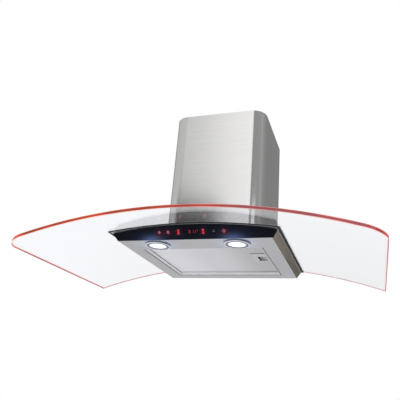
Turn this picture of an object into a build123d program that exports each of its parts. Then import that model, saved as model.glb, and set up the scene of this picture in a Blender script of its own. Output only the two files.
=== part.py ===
from build123d import *
from math import asin, cos, degrees, radians, sin, sqrt, tan
import os

# Curved glass range hood for a wall. Millimetres. +X right, the wall is y = 0,
# the front is -Y, +Z up. x = 0 is the middle, z = 0 the underside of the body.

# ---- driving dimensions ----------------------------------------------------
# fits between pieces
seat_gap = 0.3          # between a piece and what it rests on or runs beside
running_gap = 0.05      # radial, a pin or shaft in its bore
loose_gap = 0.2         # radial, a fixed piece in its hole
press_gap = 0.01        # radial, a thread or a pressed pin in its bore

# cuts
over = 1.0              # how far a cut runs past the face it leaves by
far_over = 200.0        # the same for cuts through the whole height

# sheet metal
body_sheet = 1.0
deck_sheet = 1.2
chassis_sheet = 1.5
chamber_sheet = 1.0

# arched glass canopy
canopy_width = 900.0
canopy_depth = 520.0
canopy_rise = 73.3      # how far its middle stands above its two ends
glass_thickness = 8.0
glass_corner_radius = 45.0
glass_notch_gap = 6.0   # between the glass notch and the blower chamber
glass_notch_radius = 12.0
glass_height = 36.2     # underside of the glass at x = 0

# body under the glass
body_width = 400.0
body_depth = 397.0
side_lean = 36.0        # degrees, each side plate from upright
front_lean = 31.0       # degrees, the control panel from upright
deck_overhang = 1.2     # deck beyond the panel's top edge at x = 0
gasket_thickness = 2.0
gasket_overhang = 2.0   # gasket beyond the deck at the front
gasket_side_overhang = 6.5
gasket_band = 20.0
seat_ring_width = 34.0  # inner gasket ring beside the deck opening
seat_ring_front = 11.0  # its front behind the chimney cover's front
side_flange = 12.0
rivet_radius = 2.0
rivet_height = 1.0
rivet_row = 60.0        # end rivets from the body's two ends
flange_front = 20.0     # side flanges end behind the body's front
block_over = 20.0       # how far a cutting block stands out past the body

# control panel
panel_thickness = 4.0
panel_gap = 0.2
key_depth = 0.8
key_radius = 4.0
key_places = (-82.0, -57.0, 61.0, 85.5)
bar_width = 4.5
bar_height = 13.0
bar_places = (-29.0, 34.0)
key_height = 19.5       # up the slope of the panel
window_width = 50.0
window_height = 12.0
window_place = 3.0
board_length = 190.0
board_height = 15.0
board_thickness = 1.6
chip_places = (-70.0, -20.0, 45.0)
chip_width = 12.0
chip_height = 8.0
chip_thickness = 2.0
rail_length = 376.0
rail_sheet = 1.0
rail_height = 18.0
rail_foot = 3.6
rail_pad = 70.0
rail_window_inset = 20.0

# lamps
lamp_spread = 105.0     # each lamp from the middle
lamp_from_wall = 357.0
bezel_radius = 34.0
bezel_drop = 3.5
bezel_round = 1.2
bezel_lip = 3.0         # how far it laps the lens
bezel_lip_sheet = 0.8
groove_radius = 27.0    # of the seal's groove in the bezel's face
groove_width = 1.0
groove_depth = 0.5
lens_radius = 26.0
lens_thickness = 2.0
collar_height = 6.0
collar_wall = 1.8
lamp_hole_gap = 1.0     # radial, round the lamp's collar
lamp_board_thickness = 1.5
heatsink_base = 4.5
heatsink_height = 20.0
heatsink_rim = 3.0
fin_count = 7
fin_thickness = 1.6
clip_reach = 8.0
clip_width = 9.0
clip_sheet = 0.6

# grease filter
bay_width = 320.0
bay_length = 280.0
bay_from_wall = 40.0
bay_depth = 8.6         # from the body's underside to the filter's face
filter_gap = 1.5
filter_thickness = 9.0
filter_wall = 1.0
filter_lip = 12.0
face_sheet = 0.6
mesh_pitch = 12.0
mesh_sheet = 0.6
skirt_low = 0.6         # the filter's skirt above the body's underside
face_gap = 1.2          # between the filter's face and its skirt
pivot_radius = 1.2
pivot_reach = 3.0
pivot_inset = 2.5       # from the filter's left edge
pivot_height = 3.0      # above the body's underside
latch_width = 40.0
latch_length = 74.0
latch_from_side = 9.5   # latch plate from the filter's right edge
latch_from_wall = 202.0
latch_plate_sheet = 0.8
latch_bolt_gap = 0.5    # between the bolt's tip and the bay's wall
latch_cup_length = 44.0
latch_cup_shift = 10.5  # cup's middle nearer the wall than the plate's
latch_cup_depth = 6.6
latch_cup_wall = 0.8
latch_cup_side = 1.0    # the cup's edge inside the plate's
latch_window = 23.0
latch_bolt_width = 7.0
latch_bolt_height = 3.0
latch_bolt_rise = 2.0   # the bolt above the filter's face
latch_block = 17.0
latch_block_length = 36.0
finger_hollow = 11.0
finger_depth = 3.4
finger_rim = 2.0
finger_end = 3.0
spring_wire = 0.6
spring_height = 3.0
spring_turns = 3
spring_width = 8.0

# blower chamber on the deck
chamber_width = 200.0
chamber_depth = 212.0
chamber_height = 268.0  # top of its shell
upstand_height = 18.0
chamber_flange = 11.0
wall_hole_radius = 3.25
wall_hole_spread = 85.0
wall_hole_low = 95.0
wall_hole_drop = 18.0   # the upper holes under the chamber's lid
screw_radius = 2.0
screw_head_radius = 3.6
screw_head_height = 2.0

# clamp above the glass
clamp_gasket_thickness = 1.5
clamp_sheet = 1.5
clamp_margin = 3.0      # clamp frame inside the chimney cover
clamp_spread = 122.0
clamp_rear_row = 40.0    # from the wall
clamp_front_row = 21.0   # behind the chimney cover's front
clamp_bolt_radius = 2.5
clamp_head_radius = 4.5
clamp_head_height = 3.0
bush_radius = 5.8
nut_thickness = 4.0
nut_radius = 4.6
lug_rear_row = 60.0     # from the wall
lug_front_row = 67.0    # behind the chimney cover's front
lug_width = 22.0
lug_top = 72.0

# chimney covers
cover_width = 280.0
cover_depth = 257.0
cover_top = 441.0
cover_corner = 42.0
cover_sheet = 1.0
cover_lift = 0.5        # lower edge above the glass
upper_gap = 1.5
upper_sheet = 0.8
upper_drop = 5.0        # its top below the lower cover's top, at rest
guide_length = 30.0
guide_height = 20.0
stud_radius = 2.0
stud_length = 8.0
bracket_height = 22.0
bracket_ear = 20.0
bracket_drop = 6.0      # below the upper cover's top

# blower
blower_from_wall = 90.0
blower_height = 155.0
scroll_radius = 70.0
scroll_step = 7.0
scroll_half_width = 54.0
scroll_wall = 1.8
scroll_inlet = 52.0
inlet_lip = 2.5
scroll_flange = 8.0
scroll_flange_thickness = 3.0
impeller_radius = 60.0
impeller_half_length = 48.0
blade_depth = 12.0
blade_thickness = 1.2
blade_curve = 11.0
blade_lean = 30.0
blade_count = 36
impeller_ring = 3.0
hub_radius = 10.0
hub_length = 24.0
hub_disc = 3.0
shaft_radius = 4.0
shaft_overrun = 2.0
motor_radius = 36.0
motor_near = 22.0       # from the middle to the motor's inner end
motor_far = 94.0
motor_boss = 12.0
bracket_plate = 2.0
bracket_ring = 6.0
bracket_arm = 12.0
mount_radius = 6.0
mount_height = 4.0
mount_reach = 62.0
capacitor_radius = 14.0
capacitor_length = 55.0
capacitor_drop = 23.0   # its can's top below the lid
terminal_height = 7.0
terminal_width = 6.0
terminal_sheet = 0.8
terminal_spread = 4.0   # each from the can's middle
capacitor_from_wall = 185.0
strap_sheet = 1.0
strap_height = 14.0
strap_foot = 9.0

# outlet
spigot_radius = 74.5
spigot_wall = 2.0
spigot_height = 56.0
spigot_flange = 80.0
spigot_flange_thickness = 2.0
damper_height = 18.0    # damper pin above the chamber lid
damper_pin_radius = 1.5
flap_thickness = 1.5
flap_root = 6.0
flap_gap = 1.0
flap_ledge = 4.0
knuckle_radius = 3.0
knuckle_length = 12.0
knuckle_pitch = 30.0

# control box on the chamber lid
box_width = 160.0
box_depth = 42.0
box_height = 40.0
box_wall = 2.0
box_from_wall = 4.0
box_post = 4.0
transformer = (-42.0, 36.0, 28.0, 20.0)   # place along the board, width, depth, height
relay_places = (-8.0, 8.0, 24.0)
relay_size = (10.0, 16.0, 14.0)            # width, depth, height
terminal_block = (56.0, 22.0, 18.0, 12.0)
gland_radius = 7.0
gland_length = 14.0
gland_bore = 3.5
gland_place = 58.0      # from the middle of the box, along its lid
gland_hex = 9.2
gland_hex_height = 5.0
gland_inside = 4.0      # its thread under the lid
lid_rim = 3.0           # how far the lid's rim reaches into the box

# LED strips beside the glass notch
strip_thickness = 2.5
strip_height = 6.0
strip_length = 190.0

# ---- sizes worked out from them ---------------------------------------------
half_canopy = canopy_width / 2
arch_radius = (half_canopy ** 2 + canopy_rise ** 2) / (2 * canopy_rise)
arch_centre = glass_height + glass_thickness / 2 - arch_radius
glass_top = glass_height + glass_thickness
gasket_low = glass_height - gasket_thickness
deck_low = gasket_low - deck_sheet
clamp_low = glass_top + clamp_gasket_thickness
clamp_top = clamp_low + clamp_sheet
side_slope = tan(radians(side_lean))
front_slope = tan(radians(front_lean))
half_chamber = chamber_width / 2
half_notch = half_chamber + glass_notch_gap
notch_depth = chamber_depth + glass_notch_gap
half_cover = cover_width / 2
lid_low = chamber_height
lid_top = lid_low + chamber_sheet
tall = cover_top + far_over


def arch_drop(x):
    """How far an arch at the deck's height has fallen at a distance x from the middle."""
    return arch_radius - sqrt(arch_radius ** 2 - x ** 2)


deck_half_width = body_width / 2 + (deck_low - arch_drop(body_width / 2)) * side_slope
deck_front = body_depth + deck_low * front_slope + deck_overhang
gasket_front = deck_front + gasket_overhang
gasket_half_width = deck_half_width + gasket_side_overhang
blower_y = -blower_from_wall
scroll_front = scroll_radius + 2 * scroll_step + scroll_step / 2
spigot_y = blower_y - (scroll_front - scroll_step / 2) / 2
capacitor_low = lid_low - capacitor_drop - capacitor_length
damper_z = lid_top + damper_height
box_middle = -box_from_wall - box_depth / 2
power_parts = [transformer, *[(x, *relay_size) for x in relay_places], terminal_block]
lens_low = -bezel_drop + bezel_lip_sheet
bay_front = bay_from_wall + bay_length
filter_low = bay_depth
filter_top = bay_depth + filter_thickness
filter_half_width = bay_width / 2 - filter_gap
filter_y_near = -bay_from_wall - filter_gap
filter_y_far = -bay_front + filter_gap
pivot_x = -filter_half_width + pivot_inset
bay_wall_top = filter_top + body_sheet
stud_height = (clamp_top + lug_top) / 2
upper_low = lug_top + seat_gap
upper_top = cover_top - upper_drop
upper_half = half_cover - cover_sheet - upper_gap
upper_depth = cover_depth - cover_sheet - upper_gap


# ---- helpers ----------------------------------------------------------------
def block(x0, x1, y0, y1, z0, z1):
    """A box between two corners."""
    size = Box(abs(x1 - x0), abs(y1 - y0), abs(z1 - z0))
    return Pos((x0 + x1) / 2, (y0 + y1) / 2, (z0 + z1) / 2) * size


def upright(x, y, z0, z1, radius):
    """A round bar that stands from z0 to z1."""
    return Pos(x, y, (z0 + z1) / 2) * Cylinder(radius, z1 - z0)


def along_x(x0, x1, y, z, radius):
    """A round bar that lies from x0 to x1."""
    return Pos((x0 + x1) / 2, y, z) * Rot(0, 90, 0) * Cylinder(radius, abs(x1 - x0))


def along_y(x, y0, y1, z, radius):
    """A round bar that lies from y0 to y1."""
    return Pos(x, (y0 + y1) / 2, z) * Rot(90, 0, 0) * Cylinder(radius, abs(y1 - y0))


def under_arch(crown):
    """Everything under the arched surface whose crown is at that height."""
    length = 2 * canopy_depth
    radius = crown - arch_centre
    return Pos(0, -canopy_depth / 2, arch_centre) * Rot(90, 0, 0) * Cylinder(radius, length)


def arched(outline, low, high):
    """An outline seen from above, made into an arched plate between two crown heights."""
    column = Pos(0, 0, -tall / 2) * extrude(outline, 1.5 * tall)
    return column & (under_arch(high) - under_arch(low))


def arch_frame(x, y, crown):
    """The frame where the line that is square to the glass at x, y meets an arched surface."""
    turn = asin(x / (glass_height - arch_centre))
    radius = crown - arch_centre
    place = Pos(radius * sin(turn), y, arch_centre + radius * cos(turn))
    return place * Rot(0, degrees(turn), 0)


def rounded_box_outline(half_width, depth, corner, near=0.0):
    """A rectangle from y = -near to y = -depth whose two front corners are rounded."""
    sheet = Pos(0, -(depth + near) / 2) * Rectangle(2 * half_width, depth - near)
    if corner <= 0:
        return sheet
    front = sheet.vertices().sort_by(Axis.Y)[:2]
    return fillet(front, corner)


def u_shell(half_width, depth, corner, wall, low, high):
    """Upright walls on the left, front and right, open towards the wall."""
    outer = rounded_box_outline(half_width, depth, corner)
    inner = rounded_box_outline(half_width - wall, depth - wall, corner - wall)
    room = inner + Pos(0, wall) * Rectangle(2 * (half_width - wall), 4 * wall)
    return Pos(0, 0, low) * extrude(outer - room, high - low)


def body_block(side_inset=0.0, front_inset=0.0, rear_inset=0.0, low=0.0):
    """The leaning block of the body up to the deck, its faces moved inwards by the insets."""
    high = deck_low + 10.0

    def level(z):
        half = body_width / 2 + z * side_slope - side_inset / cos(radians(side_lean))
        front = body_depth + z * front_slope - front_inset / cos(radians(front_lean))
        return Pos(0, -(front + rear_inset) / 2, z) * Rectangle(2 * half, front - rear_inset)

    return loft([level(low), level(high)], ruled=True) & under_arch(deck_low)


def half_space(side):
    """Everything on one side of the middle: -1 left, 1 right."""
    return block(0, side * canopy_width, -2 * canopy_depth, canopy_depth, -tall, tall)


def screw(length, head_radius=screw_head_radius, head_height=screw_head_height, shank=screw_radius):
    """A pan-head screw: its head stands on z = 0 and its shank goes down."""
    head = Pos(0, 0, head_height / 2) * Cylinder(head_radius, head_height)
    head = fillet(head.edges().group_by(Axis.Z)[-1], head_height * 0.4)
    slot = Pos(0, 0, head_height) * (Box(head_radius, 0.8, 1.2) + Box(0.8, head_radius, 1.2))
    return head + Pos(0, 0, -length / 2) * Cylinder(shank, length) - slot


# ---- glass canopy -----------------------------------------------------------
def clamp_places():
    rows = (clamp_rear_row, cover_depth - clamp_front_row)
    return [(side * clamp_spread, -row) for side in (-1, 1) for row in rows]


def make_glass():
    outline = rounded_box_outline(half_canopy, canopy_depth, glass_corner_radius)
    notch = rounded_box_outline(half_notch, notch_depth, glass_notch_radius)
    glass = arched(outline - notch, glass_height, glass_top)
    hole = Cylinder(bush_radius + loose_gap, 4 * glass_thickness)
    for x, y in clamp_places():
        glass -= arch_frame(x, y, glass_height) * hole
    return glass


def make_glass_gasket():
    """The frame on the deck's rim and a second ring round its opening."""
    rim = rounded_box_outline(gasket_half_width, gasket_front, 0)
    rim_room = rounded_box_outline(
        gasket_half_width - gasket_band, gasket_front - gasket_band, 0, near=gasket_band
    )
    ring = rounded_box_outline(half_chamber + seat_ring_width, cover_depth - seat_ring_front, 0)
    ring_room = rounded_box_outline(half_chamber + seat_gap, chamber_depth + seat_gap, 0)
    gasket = arched(rim - rim_room - ring, gasket_low, glass_height)
    inner = arched(ring - ring_room, gasket_low, glass_height)
    hole = Cylinder(clamp_bolt_radius + loose_gap, 4 * gasket_thickness)
    for x, y in clamp_places():
        inner -= arch_frame(x, y, gasket_low) * hole
    return Compound([*gasket.solids(), *inner.solids()])


def make_clamp(low, high, hole_radius):
    """An arched U round the blower chamber, inside the chimney cover."""
    outline = rounded_box_outline(
        half_cover - cover_sheet - clamp_margin,
        cover_depth - cover_sheet - clamp_margin,
        cover_corner - cover_sheet - clamp_margin,
    )
    room = rounded_box_outline(half_notch, notch_depth, glass_notch_radius)
    clamp = arched(outline - room, low, high)
    hole = Cylinder(hole_radius, 4 * clamp_sheet)
    for x, y in clamp_places():
        clamp -= arch_frame(x, y, low) * hole
    return clamp


def lug_places():
    rows = (lug_rear_row, cover_depth - lug_front_row)
    return [(side, -row) for side in (-1, 1) for row in rows]


def make_clamp_frame():
    frame = make_clamp(clamp_low, clamp_top, clamp_bolt_radius + loose_gap)
    wall_x = half_cover - cover_sheet - seat_gap
    for side, y in lug_places():
        inner_x = wall_x - clamp_sheet
        lug = block(side * inner_x, side * wall_x, y - lug_width / 2, y + lug_width / 2, 0, lug_top)
        foot_x = half_cover - cover_sheet - clamp_margin - clamp_sheet
        foot = block(side * foot_x, side * wall_x, y - lug_width / 2, y + lug_width / 2, 0, tall)
        foot &= under_arch(clamp_top) - under_arch(clamp_low)
        lug = lug - under_arch(clamp_low)
        hole = along_x(side * foot_x, side * half_cover, y, stud_height, stud_radius + loose_gap)
        frame += (lug + foot) - hole
    return frame


def make_cover_nuts():
    nut = extrude(RegularPolygon(stud_radius + 1.8, 6), 2.4)
    nut -= Cylinder(stud_radius + press_gap, 10)
    face_x = half_cover - cover_sheet - seat_gap - clamp_sheet
    nuts = []
    for side, y in lug_places():
        nuts.append(Pos(side * face_x, y, stud_height) * Rot(0, -side * 90, 0) * nut)
    return Compound(nuts)


def make_glass_bushes():
    height = glass_thickness - 2 * running_gap
    bush = Pos(0, 0, glass_thickness / 2) * (
        Cylinder(bush_radius, height) - Cylinder(clamp_bolt_radius + loose_gap, 2 * height)
    )
    return Compound([arch_frame(x, y, glass_height) * bush for x, y in clamp_places()])


def make_clamp_bolts():
    grip = clamp_top - deck_low + nut_thickness + 1.0
    bolt = screw(grip, clamp_head_radius, clamp_head_height, clamp_bolt_radius)
    return Compound([arch_frame(x, y, clamp_top) * bolt for x, y in clamp_places()])


def make_clamp_nuts():
    nut = extrude(RegularPolygon(nut_radius, 6), -nut_thickness)
    nut -= Cylinder(clamp_bolt_radius + press_gap, 4 * nut_thickness)
    nut = Pos(0, 0, -running_gap) * nut
    return Compound([arch_frame(x, y, deck_low) * nut for x, y in clamp_places()])


def make_edge_light_strips():
    """Two LED strips on the chamber's sides, level with the middle of the glass."""
    middle = glass_height + glass_thickness / 2 - arch_drop(half_chamber)
    rear = -(chamber_depth - strip_length) / 2
    strips = []
    for side in (-1, 1):
        strips.append(block(
            side * half_chamber, side * (half_chamber + strip_thickness),
            rear - strip_length, rear,
            middle - strip_height / 2, middle + strip_height / 2,
        ))
    return Compound(strips)


# ---- body -------------------------------------------------------------------
def lamp_places():
    return [("left", -lamp_spread), ("right", lamp_spread)]


def pillar_places():
    from_side = 18.0
    x = body_width / 2 - from_side
    return [(s * x, -y) for s in (-1, 1) for y in (from_side * 1.5, body_depth - 2.5 * from_side)]


def make_bottom_pan():
    pan = body_block(rear_inset=body_sheet) & block(
        -canopy_width, canopy_width, -canopy_depth, canopy_depth, 0, body_sheet
    )
    half_bay = bay_width / 2
    outer = block(
        -half_bay - body_sheet, half_bay + body_sheet,
        -bay_front - body_sheet, -bay_from_wall + body_sheet, 0, bay_wall_top,
    )
    pan += outer
    pan -= block(-half_bay, half_bay, -bay_front, -bay_from_wall, -over, bay_wall_top + over)
    pan -= along_y(
        pivot_x, -bay_front - 2 * body_sheet, -bay_from_wall + 2 * body_sheet,
        pivot_height, pivot_radius + running_gap,
    )
    for _, x in lamp_places():
        pan -= upright(x, -lamp_from_wall, -over, 2 * over, lens_radius + collar_wall + lamp_hole_gap)
    return pan


def make_side_plate(side):
    rear = body_sheet + panel_gap
    outer = body_block(0, panel_thickness + panel_gap, rear, body_sheet)
    inner = body_block(body_sheet, -5.0, -5.0, body_sheet)
    plate = (outer - inner) & half_space(side)
    flange = outer & block(
        side * (body_width / 2 - side_flange), side * body_width,
        -body_depth + flange_front, -rear, body_sheet, 2 * body_sheet,
    )
    plate += flange
    for y in (-rivet_row, -body_depth / 2, -body_depth + rivet_row):
        rivet_x = side * (body_width / 2 - side_flange / 2)
        plate += upright(rivet_x, y, 2 * body_sheet, 2 * body_sheet + rivet_height, rivet_radius)
    return plate


def make_rear_plate():
    slab = block(-canopy_width, canopy_width, -body_sheet, 0, 0, tall)
    return body_block(rear_inset=-body_depth) & slab


def make_deck():
    """Arched plate on the body with an upstand that the blower chamber slips over."""
    half_hole = half_chamber - chamber_sheet - deck_sheet
    hole_front = chamber_depth - chamber_sheet - deck_sheet
    hole_rear = chassis_sheet + deck_sheet
    outline = rounded_box_outline(deck_half_width, deck_front, 0)
    hole = rounded_box_outline(half_hole, hole_front, 0, near=hole_rear)
    deck = arched(outline - hole, deck_low, gasket_low)
    rim = rounded_box_outline(
        half_hole + deck_sheet, hole_front + deck_sheet, 0, near=hole_rear - deck_sheet
    )
    walls = extrude(rim - hole, gasket_low + upstand_height) - under_arch(deck_low)
    deck += walls
    bore = Cylinder(clamp_bolt_radius + loose_gap, 4 * gasket_thickness)
    for x, y in clamp_places():
        deck -= arch_frame(x, y, deck_low) * bore
    return deck


def make_deck_pillars():
    pillars = []
    for x, y in pillar_places():
        pillars.append(upright(x, y, body_sheet, deck_low + 5, 4.0) & under_arch(deck_low))
    return Compound(pillars)


# ---- control panel ----------------------------------------------------------
panel_plane = Plane(
    origin=(0, -body_depth, 0),
    x_dir=(1, 0, 0),
    z_dir=(0, -cos(radians(front_lean)), -sin(radians(front_lean))),
)


def on_panel(x, up, depth, width, height, thickness):
    """A flat box in the panel's slope whose front is that deep behind the panel's face."""
    return panel_plane * Pos(x, up, -depth - thickness / 2) * Box(width, height, thickness)


def key_discs(radius, depth):
    discs = []
    for x in key_places:
        discs.append(panel_plane * Pos(x, key_height, -depth / 2) * Cylinder(radius, depth))
    for x in bar_places:
        grow = 2 * (radius - key_radius)
        discs.append(on_panel(x, key_height, 0, bar_width + grow, bar_height + grow, depth))
    return discs


def make_control_panel():
    panel = body_block(0, 0, 0, body_sheet) - body_block(-block_over, panel_thickness, -block_over, 0)
    for pocket in key_discs(key_radius + running_gap, key_depth):
        panel -= pocket
    room = 2 * running_gap
    panel -= on_panel(
        window_place, key_height, 0, window_width + room, window_height + room, key_depth
    )
    return panel


def make_key_marks():
    return Compound([piece.solid() for piece in key_discs(key_radius, key_depth)])


def make_display_window():
    return on_panel(window_place, key_height, 0, window_width, window_height, key_depth)


def make_touch_board():
    board = on_panel(0, key_height, panel_thickness, board_length, board_height, board_thickness)
    for x in chip_places:
        board += on_panel(
            x, key_height, panel_thickness + board_thickness, chip_width, chip_height, chip_thickness
        )
    return board


def make_panel_rail():
    """Folded rail behind the panel: two pads on the glass, a window for the board, a foot."""
    depth = panel_thickness + board_thickness
    back = depth + rail_sheet
    below = -8.0
    rail = on_panel(
        0, (rail_height + below) / 2, depth, rail_length, rail_height - below, rail_sheet
    )
    rail -= on_panel(0, key_height, depth - over, board_length - rail_window_inset, rail_height * 0.7, 4.0)
    foot_y = -body_depth - body_sheet * front_slope + back / cos(radians(front_lean))
    rail += block(
        -rail_length / 2, rail_length / 2, foot_y - rail_sheet, foot_y + rail_foot,
        body_sheet, body_sheet + rail_sheet,
    )
    rail &= block(-canopy_width, canopy_width, -canopy_depth, canopy_depth, body_sheet, tall)
    for side in (-1, 1):
        pad_x = side * (rail_length - rail_pad) / 2
        rail += on_panel(pad_x, rail_height / 2, panel_thickness, rail_pad, 8.0, board_thickness)
    return rail


# ---- lamps ------------------------------------------------------------------
def make_lamp_bezel(x):
    """Rolled ring under the pan with a lip for the lens and a collar up through the hole."""
    flat = upright(0, 0, -bezel_drop, 0, bezel_radius)
    flat = fillet(flat.edges().group_by(Axis.Z)[0], bezel_round)
    collar = upright(0, 0, 0, collar_height, lens_radius + loose_gap + collar_wall)
    bezel = flat + collar
    bezel -= upright(0, 0, -bezel_drop - over, collar_height + over, lens_radius - bezel_lip)
    bezel -= upright(0, 0, lens_low, collar_height + over, lens_radius + loose_gap)
    groove_low, groove_top = -bezel_drop - over, -bezel_drop + groove_depth
    bezel -= (
        upright(0, 0, groove_low, groove_top, groove_radius + groove_width / 2)
        - upright(0, 0, groove_low - over, groove_top + over, groove_radius - groove_width / 2)
    )
    return Pos(x, -lamp_from_wall, 0) * bezel


def make_lamp_lens(x):
    lens = upright(0, 0, lens_low, lens_low + lens_thickness, lens_radius)
    lens = fillet(lens.edges().group_by(Axis.Z)[0], 0.5)
    return Pos(x, -lamp_from_wall, 0) * lens


def make_lamp_boards():
    low = heatsink_base - lamp_board_thickness
    radius = lens_radius - heatsink_rim - loose_gap
    return Compound([
        upright(x, -lamp_from_wall, low, heatsink_base, radius) for _, x in lamp_places()
    ])


def make_lamp_heatsink(x):
    rim_low = lens_low + lens_thickness
    base_top = heatsink_base + 4.5
    sink = upright(0, 0, rim_low, base_top, lens_radius)
    sink -= upright(0, 0, rim_low - over, heatsink_base, lens_radius - heatsink_rim)
    pitch = 2 * (lens_radius - fin_thickness) / fin_count
    round_bar = upright(0, 0, base_top, heatsink_height, lens_radius)
    for i in range(fin_count):
        fin_x = (i - (fin_count - 1) / 2) * pitch
        fin = block(
            fin_x - fin_thickness / 2, fin_x + fin_thickness / 2,
            -lens_radius, lens_radius, base_top, heatsink_height,
        )
        sink += fin & round_bar
    return Pos(x, -lamp_from_wall, 0) * sink


def make_lamp_clips():
    """Leaf springs on each lamp's collar that press on the pan from above."""
    collar = lens_radius + loose_gap + collar_wall
    low, high = body_sheet, collar_height
    path = [(collar, high), (collar + 1.5, high), (collar + clip_reach, low + clip_sheet),
            (collar + clip_reach, low), (collar + clip_reach - 1.0, low),
            (collar + 1.0, high - clip_sheet * 1.6), (collar, high - clip_sheet * 1.6)]
    leaf = make_face(Polyline(*path, close=True))
    leaf = Rot(90, 0, 0) * extrude(leaf, clip_width / 2, both=True)
    room = upright(0, 0, -5, 2 * high, collar)
    clips = []
    for _, x in lamp_places():
        for turn in (0, 180):
            clips.append(Pos(x, -lamp_from_wall, 0) * (Rot(0, 0, turn) * (leaf - room)))
    return Compound(clips)


# ---- grease filter ----------------------------------------------------------
def filter_block(inset, low, high):
    return block(
        -filter_half_width + inset, filter_half_width - inset,
        filter_y_far + inset, filter_y_near - inset, low, high,
    )


def latch_middle():
    """The x and y of the latch plate's middle."""
    return filter_half_width - latch_from_side - latch_width / 2, -latch_from_wall


def cup_middle():
    x, y = latch_middle()
    return x, y + latch_cup_shift


def latch_cup_block(inset, low, high):
    x, y = cup_middle()
    half_x = latch_width / 2 - latch_cup_side - inset
    half_y = latch_cup_length / 2 - inset
    return block(x - half_x, x + half_x, y - half_y, y + half_y, low, high)


def bolt_bar(extra):
    """The bolt's run from the finger block to its tip, grown by extra for its slots."""
    x, y = cup_middle()
    half_y = latch_bolt_width / 2 + extra
    low = filter_low + latch_bolt_rise
    return block(
        x, bay_width / 2 - latch_bolt_gap, y - half_y, y + half_y,
        low - extra, low + latch_bolt_height + extra,
    )


def make_filter_frame():
    """Tray with a skirt down to the body's underside, a lip over the face, another over the
    mesh, and a pin at each end of its left side."""
    lip_low = filter_low + face_sheet
    frame = filter_block(0, skirt_low, filter_top)
    frame -= filter_block(filter_wall, skirt_low - over, lip_low)
    frame -= filter_block(filter_wall, lip_low + filter_wall, filter_top - filter_wall)
    frame -= filter_block(filter_lip, lip_low - over, filter_top + over)
    for y, way in ((filter_y_near, 1), (filter_y_far, -1)):
        frame += along_y(
            pivot_x, y - way * filter_wall, y + way * pivot_reach, pivot_height, pivot_radius
        )
    frame -= bolt_bar(seat_gap) & block(0, bay_width, -canopy_depth, 0, 0, tall)
    frame -= latch_cup_block(-seat_gap, lip_low - over, filter_low + latch_cup_depth + seat_gap)
    return frame


def make_filter_face():
    face = filter_block(filter_wall + face_gap, filter_low, filter_low + face_sheet)
    return face - latch_cup_block(-seat_gap, filter_low - over, filter_low + 2 * over)


def make_filter_mesh():
    """Corrugated mesh layer between the lips of the frame."""
    low = filter_low + filter_wall + face_sheet
    high = filter_top - filter_wall
    end = filter_half_width - filter_wall
    waves = round(2 * end / mesh_pitch)
    step = end / waves
    lower = [(i * step - end, low if i % 2 == 0 else high - mesh_sheet) for i in range(2 * waves + 1)]
    upper = [(x, z + mesh_sheet) for x, z in reversed(lower)]
    sheet = Plane.XZ * make_face(Polyline(*lower, *upper, close=True))
    middle = (filter_y_near + filter_y_far) / 2
    half_length = (filter_y_near - filter_y_far) / 2 - filter_wall
    pack = Pos(0, middle, 0) * extrude(sheet, half_length, both=True)
    pack -= latch_cup_block(-seat_gap, low - over, filter_low + latch_cup_depth + seat_gap)
    return pack - bolt_bar(seat_gap)


def make_latch_plate():
    """Cover plate with a finger window and a cup behind it that holds the slider."""
    x, y = latch_middle()
    half_x, half_y = latch_width / 2, latch_length / 2
    low = filter_low - latch_plate_sheet
    plate = block(x - half_x, x + half_x, y - half_y, y + half_y, low, filter_low)
    cup = latch_cup_block(0, low, filter_low + latch_cup_depth)
    cup -= latch_cup_block(latch_cup_wall, filter_low, filter_low + latch_cup_depth - latch_cup_wall)
    plate += cup
    right = x + half_x - 2.0
    y = cup_middle()[1]
    half_window = latch_cup_length / 2 - 2 * latch_cup_wall
    plate -= block(right - latch_window, right, y - half_window, y + half_window, low - over, filter_low)
    return plate - bolt_bar(seat_gap)


def finger_block_x():
    """Left and right of the slider's finger block at rest."""
    x, _ = latch_middle()
    right = x + latch_width / 2 - latch_cup_side - latch_cup_wall - seat_gap
    return right - latch_block, right


def make_latch_slider():
    """Finger block with a sloped hollow, and the bolt that reaches the bay's wall."""
    x0, x1 = finger_block_x()
    _, y = cup_middle()
    low = filter_low + seat_gap
    high = filter_low + latch_cup_depth - latch_cup_wall - seat_gap
    half = latch_block_length / 2
    slider = block(x0, x1, y - half, y + half, low, high)
    slope = Polyline(
        (x0 + finger_rim, low), (x0 + finger_rim, low + finger_depth),
        (x0 + finger_rim + finger_hollow, low), close=True,
    )
    hollow = Plane.XZ * make_face(slope)
    slider -= Pos(0, y, 0) * extrude(hollow, half - finger_end, both=True)
    half_bolt = latch_bolt_width / 2
    bolt_low = filter_low + latch_bolt_rise
    slider += block(
        x1 - finger_rim, bay_width / 2 - latch_bolt_gap, y - half_bolt, y + half_bolt,
        bolt_low, bolt_low + latch_bolt_height,
    )
    return slider


def make_latch_spring():
    """Zigzag leaf spring between the cup's far wall and the finger block."""
    x0, _ = finger_block_x()
    x, y = cup_middle()
    start = x - latch_width / 2 + latch_cup_side + latch_cup_wall
    run = x0 - start
    half = spring_width / 2
    step = run / (2 * spring_turns)
    points = [(0, 0)]
    for i in range(2 * spring_turns - 1):
        points.append((step * (i + 1), half if i % 2 == 0 else -half))
    points.append((run, 0))
    ribbon = []
    for (ax, ay), (bx, by) in zip(points, points[1:]):
        length = sqrt((bx - ax) ** 2 + (by - ay) ** 2)
        turn = degrees(asin((by - ay) / length))
        ribbon.append(
            Pos((ax + bx) / 2, (ay + by) / 2) * Rot(0, 0, turn) * Rectangle(length, spring_wire)
        )
    for ax, ay in points:
        ribbon.append(Pos(ax, ay) * Circle(spring_wire / 2))
    outline = Sketch() + ribbon
    outline &= Pos(run / 2, 0) * Rectangle(run, 4 * half)
    low = filter_low + 1.2
    return Pos(start, y, low) * extrude(outline, spring_height)


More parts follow.
